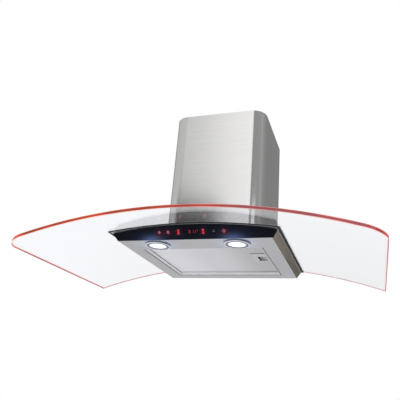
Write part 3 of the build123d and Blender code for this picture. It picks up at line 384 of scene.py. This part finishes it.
def clear_canopy_glass():
    """8 mm toughened float glass: clear, faintly blue, its polished edges lit red from inside."""
    material, tree, place = new_material("toughened_float_glass")
    axes = add(tree, "ShaderNodeSeparateXYZ", {"Vector": place})
    normal = add(tree, "ShaderNodeTexCoord").outputs["Normal"]
    facing = calculate(tree, "ABSOLUTE", coordinate(tree, normal, "Z"))
    # an edge faces sideways, and the arch of the glass nowhere leans that far
    edge = calculate(tree, "LESS_THAN", facing, 0.6)
    # how far from the middle of the glass's thickness, by the radius of its arch
    height = calculate(tree, "ADD", axes.outputs["Z"], ARCH_RADIUS - GLASS_MIDDLE)
    upright = add(tree, "ShaderNodeCombineXYZ", {"X": axes.outputs["X"], "Z": height}).outputs[0]
    off_middle = calculate(tree, "SUBTRACT", length_of(tree, upright), ARCH_RADIUS)
    off_middle = calculate(tree, "ABSOLUTE", off_middle)
    core = spread(tree, off_middle, 1.0, 0.0, 2.2 * MM, 3.4 * MM)
    # how near the outer edge, with its two rounded corners
    low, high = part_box("glass_canopy")
    beside = calculate(tree, "ABSOLUTE", axes.outputs["X"])
    beside = calculate(tree, "SUBTRACT", beside, high.x - CANOPY_CORNER)
    before = calculate(tree, "SUBTRACT", low.y + CANOPY_CORNER, axes.outputs["Y"])
    outside = add(tree, "ShaderNodeCombineXYZ", {
        "X": calculate(tree, "MAXIMUM", beside, 0.0), "Y": calculate(tree, "MAXIMUM", before, 0.0),
    }).outputs[0]
    inside = calculate(tree, "MINIMUM", calculate(tree, "MAXIMUM", beside, before), 0.0)
    beyond = calculate(tree, "ADD", length_of(tree, outside), inside)
    nearest = calculate(tree, "SUBTRACT", CANOPY_CORNER, beyond)
    # the red light shows faintly in the outermost 7 mm
    scatter = spread(tree, nearest, 1.0, 0.0, 0.0, 7 * MM)
    clear = blend_colours(tree, scatter, linear("#FBFCFF"), linear("#FFEAE8"))
    tint = blend_colours(tree, edge, clear, linear("#96484E"))
    sideways = spread(tree, axes.outputs["X"], 0.0, 1.0, -0.1, 0.2)
    red = blend_colours(tree, sideways, linear("#BC4A33"), linear("#A33A45"))
    lit = blend_colours(tree, core, linear("#F0A596"), red)
    patchy = vary(tree, grain(tree, place, (70.0, 70.0, 70.0), 1.0), 0.72, 1.2)
    glass = add(tree, "ShaderNodeBsdfPrincipled", {
        "Base Color": tint, "Roughness": 0.0, "IOR": 1.52, "Transmission Weight": 1.0,
        "Emission Color": lit, "Emission Strength": calculate(tree, "MULTIPLY", edge, patchy),
    })
    # the side and back edges are ground, so their light stays on the surface
    away = spread(tree, axes.outputs["Y"], 0.0, 1.0, low.y + CANOPY_CORNER, low.y + 3 * CANOPY_CORNER)
    ground = add(tree, "ShaderNodeEmission", {"Color": linear("#B01430")})
    mixed = add(tree, "ShaderNodeMixShader", {
        0: calculate(tree, "MULTIPLY", edge, away), 1: glass.outputs[0], 2: ground.outputs[0],
    })
    return close(material, tree, mixed)


def lamp_glow(tree, place, reach_mm):
    """Painted light: a glow round each of the two lamps, for emission on what is beside them."""
    lamps = []
    for side in ("left", "right"):
        low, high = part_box("lamp_lens_" + side)
        lamps.append(halo(tree, place, (low + high) / 2, reach_mm))
    return total(tree, lamps)


def back_painted_glass(name):
    """4 mm glass, back-painted black: deep black, with a painted red glow round the lit marks and a
    painted blue glow near the lamps.
    """
    material, tree, place = new_material(name)
    film = grain(tree, place, (60.0, 60.0, 60.0), 3.0)
    # painted light: a red glow round each lit mark
    marks = total(tree, [halo(tree, place, fascia(u, KEY_ROW), (9, 9, 9)) for u in LIT_MARKS])
    # painted light: a blue glow round the lamps
    near = calculate(tree, "MULTIPLY", lamp_glow(tree, place, (24, 70, 11)), 4.4)
    wide = calculate(tree, "MULTIPLY", lamp_glow(tree, place, (75, 90, 26)), 0.35)
    blue = calculate(tree, "MULTIPLY", calculate(tree, "ADD", near, wide), 0.14)
    red = calculate(tree, "MULTIPLY", marks, 0.05)
    return surface(material, tree, {
        "Base Color": linear("#04050C"),
        "Roughness": vary(tree, film, 0.04, 0.1),
        "IOR": 1.5, "Specular IOR Level": 0.06,
        "Emission Color": blend_colours(tree, marks, linear("#6C84C0"), linear("#E02038")),
        "Emission Strength": calculate(tree, "ADD", red, blue),
    })


def lit_icon(name, colour, strength):
    """Ink-masked LED symbol behind glass: it glows evenly."""
    material, tree, place = new_material(name)
    shade = vary(tree, grain(tree, place, (2.0, 2.0, 2.0), 1.0), 0.9, 1.1)
    return surface(material, tree, {
        "Base Color": linear("#140406"), "Roughness": 0.2, "Emission Color": linear(colour),
        "Emission Strength": calculate(tree, "MULTIPLY", shade, strength),
    })


def from_lamp_axis(tree, place, edge_mm):
    """1 inside a circle round each lamp's axis, 0 outside, soft over its edge."""
    axes = add(tree, "ShaderNodeSeparateXYZ", {"Vector": place})
    beside = calculate(tree, "SUBTRACT", calculate(tree, "ABSOLUTE", axes.outputs["X"]), LAMP_SIDE)
    along = calculate(tree, "SUBTRACT", axes.outputs["Y"], LAMP_FRONT)
    flat = add(tree, "ShaderNodeCombineXYZ", {"X": beside, "Y": along}).outputs[0]
    return spread(tree, length_of(tree, flat), 1.0, 0.0, edge_mm[0] * MM, edge_mm[1] * MM)


def lamp_diffuser():
    """Polycarbonate lens with a fine prism pattern, lit white from behind and fading at its rim."""
    material, tree, place = new_material("prismatic_polycarbonate_lens")
    pattern = add(tree, "ShaderNodeTexVoronoi", {"Vector": place, "Scale": 1 / (1.6 * MM)})
    cell = pattern.outputs["Distance"]
    clear = from_lamp_axis(tree, place, LENS_RIM)
    return surface(material, tree, {
        "Base Color": blend_colours(tree, clear, linear("#8C99BE"), linear("#F4F7FA")),
        "Roughness": 0.25, "IOR": 1.58,
        "Emission Color": blend_colours(tree, cell, linear("#FFFFFF"), linear("#E6EEFF")),
        "Emission Strength": spread(tree, clear, 0.2, 1.3),
        "Normal": bumped(tree, cell, 0.15, 0.4),
    })


def chromed_bezel():
    """Polished chromed ring: black round the lens, with painted shade where it meets the body and a
    painted blue glow from the lamps.
    """
    material, tree, place = new_material("chromed_steel_bezel")
    # painted shade: the outer wall, where the bezel meets the body, turns black
    black_lip_and_painted_shade = spread(tree, coordinate(tree, place, "Z"), 0.0, 1.0, -1.75 * MM, -1.6 * MM)
    black_lip_and_painted_shade = calculate(tree, "MAXIMUM", black_lip_and_painted_shade, from_lamp_axis(tree, place, LIP_RIM))
    texture = grain(tree, place, (6.0, 6.0, 6.0))
    return surface(material, tree, {
        "Base Color": blend_colours(tree, black_lip_and_painted_shade, linear("#C9CBD0"), linear("#15161A")),
        "Metallic": calculate(tree, "SUBTRACT", 1.0, black_lip_and_painted_shade),
        "Roughness": vary(tree, texture, 0.1, 0.16),
        # painted light: a blue glow from the lamps
        "Emission Color": linear("#9DB4F5"),
        "Emission Strength": calculate(tree, "MULTIPLY", lamp_glow(tree, place, (27, 27, 27)), 0.25),
    })


def plain_metal(name, colour, roughness, grain_mm, bump_mm):
    """Bare metal with an even fine texture."""
    material, tree, place = new_material(name)
    texture = grain(tree, place, (grain_mm,) * 3, 3.0)
    dark = darker(colour, 0.86)
    return surface(material, tree, {
        "Base Color": blend_colours(tree, vary(tree, texture, 0.0, 1.0), dark, linear(colour)),
        "Metallic": 1.0,
        "Roughness": vary(tree, texture, roughness - 0.05, roughness + 0.05),
        "Normal": bumped(tree, texture, bump_mm, 0.6),
    })


def galvanised_sheet():
    """Hot-dip galvanised steel: zinc crystals 9 mm across, each its own grey."""
    material, tree, place = new_material("galvanised_steel")
    crystal = add(tree, "ShaderNodeTexVoronoi", {"Vector": place, "Scale": 1 / (9 * MM)})
    tone = add(tree, "ShaderNodeSeparateColor", {"Color": crystal.outputs["Color"]}).outputs[0]
    fine = grain(tree, place, (0.8, 0.8, 0.8))
    return surface(material, tree, {
        "Base Color": blend_colours(tree, tone, linear("#A9AEB3"), linear("#CDD1D5")),
        "Metallic": 1.0,
        "Roughness": spread(tree, tone, 0.3, 0.48),
        "Normal": bumped(tree, fine, 0.02, 0.4),
    })


def expanded_foil():
    """Expanded aluminium foil: diamond openings 3 mm long, pressed flat, bright."""
    material, tree, place = new_material("expanded_aluminium_foil")
    pitch_x, pitch_y = 3.0 * MM, 1.7 * MM
    axes = add(tree, "ShaderNodeSeparateXYZ", {"Vector": place})
    u = calculate(tree, "MULTIPLY", axes.outputs["X"], math.pi / pitch_x)
    v = calculate(tree, "MULTIPLY", axes.outputs["Y"], math.pi / pitch_y)
    first = calculate(tree, "ABSOLUTE", calculate(tree, "SINE", calculate(tree, "ADD", u, v)))
    second = calculate(tree, "ABSOLUTE", calculate(tree, "SINE", calculate(tree, "SUBTRACT", u, v)))
    strands = calculate(tree, "MINIMUM", first, second)
    hole = spread(tree, strands, 0.0, 1.0, 0.35, 0.6)
    # painted shade: the foil turns darker towards the latch
    towards = spread(tree, axes.outputs["X"], 0.0, 1.0, -0.12, 0.144)
    painted_shade_to_latch = ramp(tree, towards, [(0.0, 0.0), (0.45, 0.33), (1.0, 1.0)])
    foil_out_of_shade = blend_colours(tree, hole, linear("#F9F9FC"), linear("#DCDDE2"))
    foil_in_painted_shade = blend_colours(tree, hole, linear("#CBCBCC"), linear("#B4B4B6"))
    return surface(material, tree, {
        "Base Color": blend_colours(tree, painted_shade_to_latch, foil_out_of_shade, foil_in_painted_shade),
        "Metallic": 1.0,
        "Roughness": spread(tree, strands, 0.3, 0.5),
        "Normal": bumped(tree, strands, 0.3, 0.35),
    })


def moulded(name, colour, roughness, grain_mm=0.6, ior=1.5):
    """Injection-moulded plastic with a fine spark-eroded texture."""
    material, tree, place = new_material(name)
    texture = grain(tree, place, (grain_mm,) * 3)
    cloudy = grain(tree, place, (40.0,) * 3)
    dark = darker(colour, 0.9)
    return surface(material, tree, {
        "Base Color": blend_colours(tree, cloudy, dark, linear(colour)),
        "Roughness": vary(tree, texture, roughness - 0.06, roughness + 0.06),
        "IOR": ior,
        "Normal": bumped(tree, texture, 0.03, 0.5),
    })


def circuit_board():
    """Glass-epoxy board: green solder mask over copper tracks 1.2 mm apart."""
    material, tree, place = new_material("green_solder_mask")
    tracks = add(tree, "ShaderNodeTexBrick", {
        "Vector": place, "Color1": linear("#0F5A2E"), "Color2": linear("#1B7040"),
        "Mortar": linear("#0A3D20"), "Scale": 1.0, "Mortar Size": 0.15 * MM,
        "Brick Width": 7 * MM, "Row Height": 1.2 * MM,
    })
    return surface(material, tree, {
        "Base Color": tracks.outputs["Color"], "Roughness": 0.35, "IOR": 1.5,
        "Normal": bumped(tree, tracks.outputs["Fac"], 0.03, 0.4),
    })


def filter_frame_steel():
    """Pale powder-coated steel, with painted shade: the outside of the skirt, in the gap beside the
    bay, is near black.
    """
    material, tree, place = new_material("pale_powder_coated_steel")
    axes = add(tree, "ShaderNodeSeparateXYZ", {"Vector": place})
    low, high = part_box("filter_face")
    side = calculate(tree, "SUBTRACT", calculate(tree, "ABSOLUTE", axes.outputs["X"]), high.x)
    middle = (low.y + high.y) / 2
    end = calculate(tree, "ABSOLUTE", calculate(tree, "SUBTRACT", axes.outputs["Y"], middle))
    end = calculate(tree, "SUBTRACT", end, high.y - middle)
    # painted shade: the skirt's outside, more than 2.1 mm beyond the face's edges, turns near black
    outside = spread(tree, calculate(tree, "MAXIMUM", side, end), 0.0, 1.0, 2.05 * MM, 2.15 * MM)
    texture = grain(tree, place, (0.5, 0.5, 0.5))
    return surface(material, tree, {
        "Base Color": blend_colours(tree, outside, linear("#F6F6F7"), linear("#1A1A1C")),
        "Roughness": vary(tree, texture, 0.25, 0.35),
        "IOR": 1.5,
        "Normal": bumped(tree, texture, 0.02, 0.5),
    })


def latch_steel():
    """Pressed stainless plate, with painted shade: its deep cup a little darker, and a dark line
    along its front edge.
    """
    material, tree, place = new_material("pressed_stainless_plate")
    # painted shade: the deep cup is darker
    painted_cup_shade = spread(tree, coordinate(tree, place, "Z"), 0.0, 1.0, 9.0 * MM, 14.0 * MM)
    fine = grain(tree, place, (0.6, 0.6, 0.6))
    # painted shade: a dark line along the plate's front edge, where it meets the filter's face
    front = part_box("latch_plate")[0].y
    painted_front_shade = spread(tree, coordinate(tree, place, "Y"), 1.0, 0.0,
                     front + 0.8 * MM, front + 1.4 * MM)
    bright = blend_colours(tree, painted_front_shade, linear("#CCCCCE"), linear("#4A4A4C"))
    return surface(material, tree, {
        "Base Color": blend_colours(tree, painted_cup_shade, bright, linear("#B4B4B6")),
        "Metallic": 1.0,
        "Roughness": vary(tree, fine, 0.36, 0.44),
        "Normal": bumped(tree, fine, 0.01, 0.3),
    })


def led_strip():
    """Potted LED strip: a bright red point every 8 mm in milky resin."""
    material, tree, place = new_material("potted_led_strip")
    along = coordinate(tree, place, "Y")
    pitch = 8 * MM
    wave = calculate(tree, "COSINE", calculate(tree, "MULTIPLY", along, 2 * math.pi / pitch))
    point = spread(tree, wave, 0.35, 1.2, 0.2, 1.0)
    return surface(material, tree, {
        "Base Color": linear("#D8B8B4"), "Roughness": 0.4, "IOR": 1.45,
        "Emission Color": linear("#E8231A"), "Emission Strength": point,
    })


# ---- trim --------------------------------------------------------------------
def make_piece(name, bm, material, body):
    """Turns a finished bmesh into an object that rides on a body."""
    bmesh.ops.recalc_face_normals(bm, faces=bm.faces)
    mesh = bpy.data.meshes.new(name)
    bm.to_mesh(mesh)
    bm.free()
    mesh.materials.append(material)
    piece = bpy.data.objects.new(name, mesh)
    bpy.context.collection.objects.link(piece)
    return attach(piece, body)


def bridge(bm, first, second):
    """A closed wall of faces between two rings of as many points."""
    for i in range(len(first)):
        j = (i + 1) % len(first)
        bm.faces.new((first[i], first[j], second[j], second[i]))


def band(name, outer, inner, low, high, material, body):
    """A flat strip between an outer and an inner loop of points, and two heights."""
    bm = bmesh.new()
    rings = []
    for loop, z in ((outer, low), (inner, low), (inner, high), (outer, high)):
        rings.append([bm.verts.new((x, y, z)) for x, y in loop])
    for a in range(4):
        bridge(bm, rings[a], rings[(a + 1) % 4])
    make_piece(name, bm, material, body)


def circle(x, y, radius):
    """A loop of points round a middle."""
    count = 96
    turns = [2 * math.pi * i / count for i in range(count)]
    return [(x + radius * math.cos(t), y + radius * math.sin(t)) for t in turns]


def rectangle(low, high, beside, before):
    """The outline of a box seen from below, drawn in by that much at its sides and its ends."""
    x0, y0, x1, y1 = low.x + beside, low.y + before, high.x - beside, high.y - before
    return [(x0, y0), (x1, y0), (x1, y1), (x0, y1)]


def fit_shade_strips(rubber):
    """Painted shade: a thin black ring in the groove of each lamp's bezel, and a black strip between
    the filter's face and its skirt.
    """
    # painted shade: a black ring in each bezel's groove
    for side in ("left", "right"):
        low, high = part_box("lamp_bezel_" + side)
        x, y = (low.x + high.x) / 2, (low.y + high.y) / 2
        outer, inner = circle(x, y, 27.4 * MM), circle(x, y, 26.6 * MM)
        foot, top = low.z + 0.05 * MM, low.z + 0.45 * MM
        band("lamp_shade_ring_" + side, outer, inner, foot, top, rubber, "hood")
    # painted shade: a black strip between the filter's face and its skirt
    low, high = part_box("filter_face")
    outer = rectangle(low, high, -1.1 * MM, -1.1 * MM)
    inner = rectangle(low, high, 0.9 * MM, -0.1 * MM)
    foot, top = low.z - 0.15 * MM, low.z + 0.25 * MM
    band("filter_shade_strip", outer, inner, foot, top, rubber, "filter")


def shade_bay_sides(rubber):
    """Painted shade: a thin black half-round strip on the pan along the left and right sides of the
    filter's bay, in the gap.
    """
    width, depth, sunk, steps = 1.3 * MM, 0.18 * MM, 0.02 * MM, 6
    low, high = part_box("filter_face")
    reach = 3.7 * MM  # from the edge of the filter's face to the bay's wall
    for side, edge, way in (("left", low.x - reach, -1), ("right", high.x + reach, 1)):
        bm = bmesh.new()
        rings = []
        for y in (low.y - reach, high.y + reach):
            ring = []
            for i in range(steps + 1):
                turn = math.pi * i / steps
                across = edge + way * width * (1 - math.cos(turn)) / 2
                ring.append(bm.verts.new((across, y, sunk - depth * math.sin(turn))))
            rings.append(ring)
            bm.faces.new(ring)
        bridge(bm, *rings)
        make_piece("bay_shade_strip_" + side, bm, rubber, "hood")


def fold_latch_spring(steel):
    """The latch's zigzag leaf spring, bent from strip."""
    strip, bend, turns, bend_steps, travel = 0.6 * MM, 0.8 * MM, 5, 4, 6 * MM
    low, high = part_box("latch_spring")
    middle = (low.y + high.y) / 2
    run = high.x - low.x - 0.04 * MM
    pitch = run / (turns + 1)
    rise = (high.y - low.y - strip) / 2 - bend
    sweep = math.atan2(2 * rise, pitch) + math.asin(2 * bend / math.hypot(pitch, 2 * rise))
    path = [(0.0, 0.0)]
    for i in range(turns):
        peak, side = (i + 1) * pitch, 1 - 2 * (i % 2)
        for step in range(-bend_steps, bend_steps + 1):
            turn = sweep * step / bend_steps
            path.append((peak + bend * math.sin(turn), side * (rise + bend * math.cos(turn))))
    path.append((run, 0.0))
    bm = bmesh.new()
    rings = []
    for i, (x, y) in enumerate(path):
        (x0, y0), (x1, y1) = path[max(i - 1, 0)], path[min(i + 1, len(path) - 1)]
        length = math.hypot(x1 - x0, y1 - y0)
        dx, dy = (y0 - y1) / length * strip / 2, (x1 - x0) / length * strip / 2
        if i in (0, len(path) - 1):
            dx, dy = 0.0, length / (x1 - x0) * strip / 2
        ends = ((x + dx, y + dy, low.z), (x - dx, y - dy, low.z),
                (x - dx, y - dy, high.z), (x + dx, y + dy, high.z))
        rings.append([bm.verts.new((low.x + u, middle + v, z)) for u, v, z in ends])
    for first, second in zip(rings, rings[1:]):
        bridge(bm, first, second)
    bm.faces.new(rings[0])
    bm.faces.new(rings[-1])
    spring = make_piece("latch_leaf_spring", bm, steel, "filter")
    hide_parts("latch_spring")
    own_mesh(spring)


# ---- lit marks on the control panel -----------------------------------------
# where the films of ink lie in front of the panel's face, and their thickness, in mm
INK_OUT, INK_THICK = 0.02, 0.05
# the bars that each digit lights
SEGMENTS = {"8": "abcdefg", "1": "bc"}


def prisms(name, shapes, material):
    """A film of ink on the control panel: each shape is a ring of (across, up) points in mm."""
    bm = bmesh.new()
    for shape in shapes:
        back = [bm.verts.new(fascia(u, v, INK_OUT)) for u, v in shape]
        front = [bm.verts.new(fascia(u, v, INK_OUT + INK_THICK)) for u, v in shape]
        bm.faces.new(front)
        bm.faces.new(list(reversed(back)))
        bridge(bm, back, front)
    make_piece(name, bm, material, "hood")


def polar(u, v, radius, degrees):
    """A point at that radius and angle from another."""
    turn = math.radians(degrees)
    return u + radius * math.cos(turn), v + radius * math.sin(turn)


def ring_shapes(u, v, inner, outer, steps=24):
    """A ring as short pieces."""
    shapes = []
    for i in range(steps):
        first, last = 360 * i / steps, 360 * (i + 1) / steps
        shapes.append([polar(u, v, inner, first), polar(u, v, outer, first),
                       polar(u, v, outer, last), polar(u, v, inner, last)])
    return shapes


def dot(u, v, radius):
    """A round dot of twelve sides."""
    return [polar(u, v, radius, 30 * i) for i in range(12)]


def petal(u, v, near, far, width, degrees):
    """A pointed petal that runs outwards from a point."""
    middle = (near + far) / 2
    side = math.degrees(math.atan2(width / 2, middle))
    reach = math.hypot(middle, width / 2)
    return [polar(u, v, near, degrees), polar(u, v, reach, degrees - side),
            polar(u, v, far, degrees), polar(u, v, reach, degrees + side)]


def digit_shapes(digit, u, v):
    """A slanting digit of up to seven bars, its left side at u and the middle of its height at v."""
    width, height, stroke = 3.6, 7.2, 0.9
    gap, slant = 0.35, 0.12
    half, thin = height / 2, stroke / 2
    foot = v - half
    bars = {
        "a": (0, height, 1), "g": (0, half, 1), "d": (0, 0, 1),
        "f": (0, half, 0), "b": (width, half, 0), "e": (0, 0, 0), "c": (width, 0, 0),
    }
    shapes = []
    for bar in SEGMENTS[digit]:
        across, up, flat = bars[bar]
        end = (width if flat else half) - gap
        corners = [(gap, 0), (gap + thin, thin), (end - thin, thin),
                   (end, 0), (end - thin, -thin), (gap + thin, -thin)]
        if not flat:
            corners = [(beside, along) for along, beside in corners]
        corners = [(across + x, up + y) for x, y in corners]
        shapes.append([(u + x + y * slant, foot + y) for x, y in corners])
    return shapes


def bar_block(u, v, width):
    """One block of a bar, its corners cut off, the middle of its foot at u, v."""
    half, height, cut = width / 2, 5.8, 0.5
    return [(u - half + cut, v), (u + half - cut, v), (u + half, v + cut),
            (u + half, v + height - cut), (u + half - cut, v + height),
            (u - half + cut, v + height), (u - half, v + height - cut), (u - half, v + cut)]


def print_panel():
    """Symbols, two bars and a clock behind the control panel's glass."""
    red = lit_icon("lit_red_symbols", "#FF90AA", 0.5)
    bright = lit_icon("lit_red_bars", "#F5123C", 0.62)
    dim = lit_icon("lit_red_digits", "#F51A44", 0.62)
    grey = lit_icon("white_ink_symbol", "#A0A4AC", 0.45)
    row = KEY_ROW
    prisms("symbol_flower", [petal(FLOWER, row, 0.5, 4.2, 3.0, 90 * i) for i in range(4)], red)
    prisms("symbol_ring", ring_shapes(RING, row, 2.2, 3.5) + [dot(RING, row, 1.0)], red)
    prisms("symbol_diamond", ring_shapes(DIAMOND, row, 3.0, 4.6, steps=4), red)
    for name, u in zip(("bar_left", "bar_right"), BARS):
        prisms(name, [bar_block(u, row - 6.2, 5.6), bar_block(u, row + 0.4, 5.0)], bright)
    clock = []
    for digit, u in (("8", -5.0), ("1", 3.2), ("1", 8.8)):
        clock += digit_shapes(digit, u, row)
    clock += ring_shapes(17.0, row + 2.6, 0.5, 1.2, steps=12)
    prisms("clock_digits", clock, dim)
    prisms("symbol_fan", [petal(FAN, row, 0.8, 3.7, 2.1, 90 + 120 * i) for i in range(3)], grey)


def dress_nodes():
    """Gives each CAD node its material."""
    cover_steel = brushed_stainless("brushed_stainless_cover", "z", "#D5D5D6", 0.12)
    pan_steel = brushed_stainless("brushed_stainless_pan", "y", "#C2C2C5", 0.34, (38, 38, 38))
    sheet_steel = brushed_stainless("brushed_stainless_sheet", "y", "#BABABE", 0.34)
    side_steel = brushed_stainless("brushed_stainless_side", "y", "#CBC5B7", 0.3)
    zinc = galvanised_sheet()
    bright = plain_metal("zinc_plated_steel", "#C9CDD2", 0.25, 0.8, 0.01)
    cast = plain_metal("die_cast_aluminium", "#B4B6BA", 0.5, 1.2, 0.06)
    foil = expanded_foil()
    black_glass = back_painted_glass("back_painted_black_glass")
    window = back_painted_glass("smoked_display_glass")
    rubber = moulded("epdm_rubber", "#151515", 0.7, 0.5, 1.52)
    clear = moulded("clear_nylon", "#DADDE0", 0.35, 1.0)
    black = moulded("black_polypropylene", "#1B1B1C", 0.5)
    white = moulded("white_polypropylene", "#E3E2DC", 0.5)
    grey = moulded("grey_acetal", "#A2A2A4", 0.45)
    board = circuit_board()
    finishes = {
        "glass_canopy": clear_canopy_glass(),
        "edge_light_strips": led_strip(),
        "lower_cover": cover_steel, "upper_cover": cover_steel,
        "bottom_pan": pan_steel, "rear_plate": sheet_steel, "deck_plate": sheet_steel,
        "side_plate_left": side_steel, "side_plate_right": side_steel,
        "control_panel": black_glass, "key_marks": black_glass, "display_window": window,
        "filter_frame": filter_frame_steel(), "filter_face": foil, "filter_mesh": foil,
        "latch_plate": latch_steel(), "latch_slider": grey,
        "impeller": black, "motor": cast, "run_capacitor": white,
        "control_box": white, "control_box_lid": white, "cover_guides": white,
        "outlet_collar": black, "damper_flap_front": black, "damper_flap_rear": black,
        "cable_gland": black, "scroll_left": black, "scroll_right": black,
        "glass_bushes": clear,
    }
    for name in ("glass_gasket", "clamp_gasket", "motor_mounts"):
        finishes[name] = rubber
    for name in ("clamp_frame", "panel_rail", "chassis_plate", "chamber_shell", "chamber_lid",
                 "motor_bracket", "capacitor_strap", "cover_bracket"):
        finishes[name] = zinc
    for name in ("clamp_bolts", "clamp_nuts", "deck_pillars", "lamp_clips", "latch_spring",
                 "chamber_screws", "motor_shaft", "damper_pin", "cover_nuts", "cover_screws"):
        finishes[name] = bright
    for name in ("touch_board", "lamp_boards", "power_board"):
        finishes[name] = board
    lens = lamp_diffuser()
    bezel = chromed_bezel()
    for side in ("left", "right"):
        finishes["lamp_bezel_" + side] = bezel
        finishes["lamp_lens_" + side] = lens
        finishes["lamp_heatsink_" + side] = cast
    for name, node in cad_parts.items():
        node.data.materials.clear()
        node.data.materials.append(finishes[name])


bpy.context.scene.view_settings.view_transform = "Standard"
place_camera()
make_world()
make_floor()
light_studio()
dress_nodes()
print_panel()
# black for the strips of painted shade in the bezels, round the filter and beside its bay
shade_black = moulded("black_painted_shade", "#101012", 0.5)
fit_shade_strips(shade_black)
shade_bay_sides(shade_black)
fold_latch_spring(plain_metal("stainless_spring_strip", "#C3C5C8", 0.22, 0.6, 0.005))
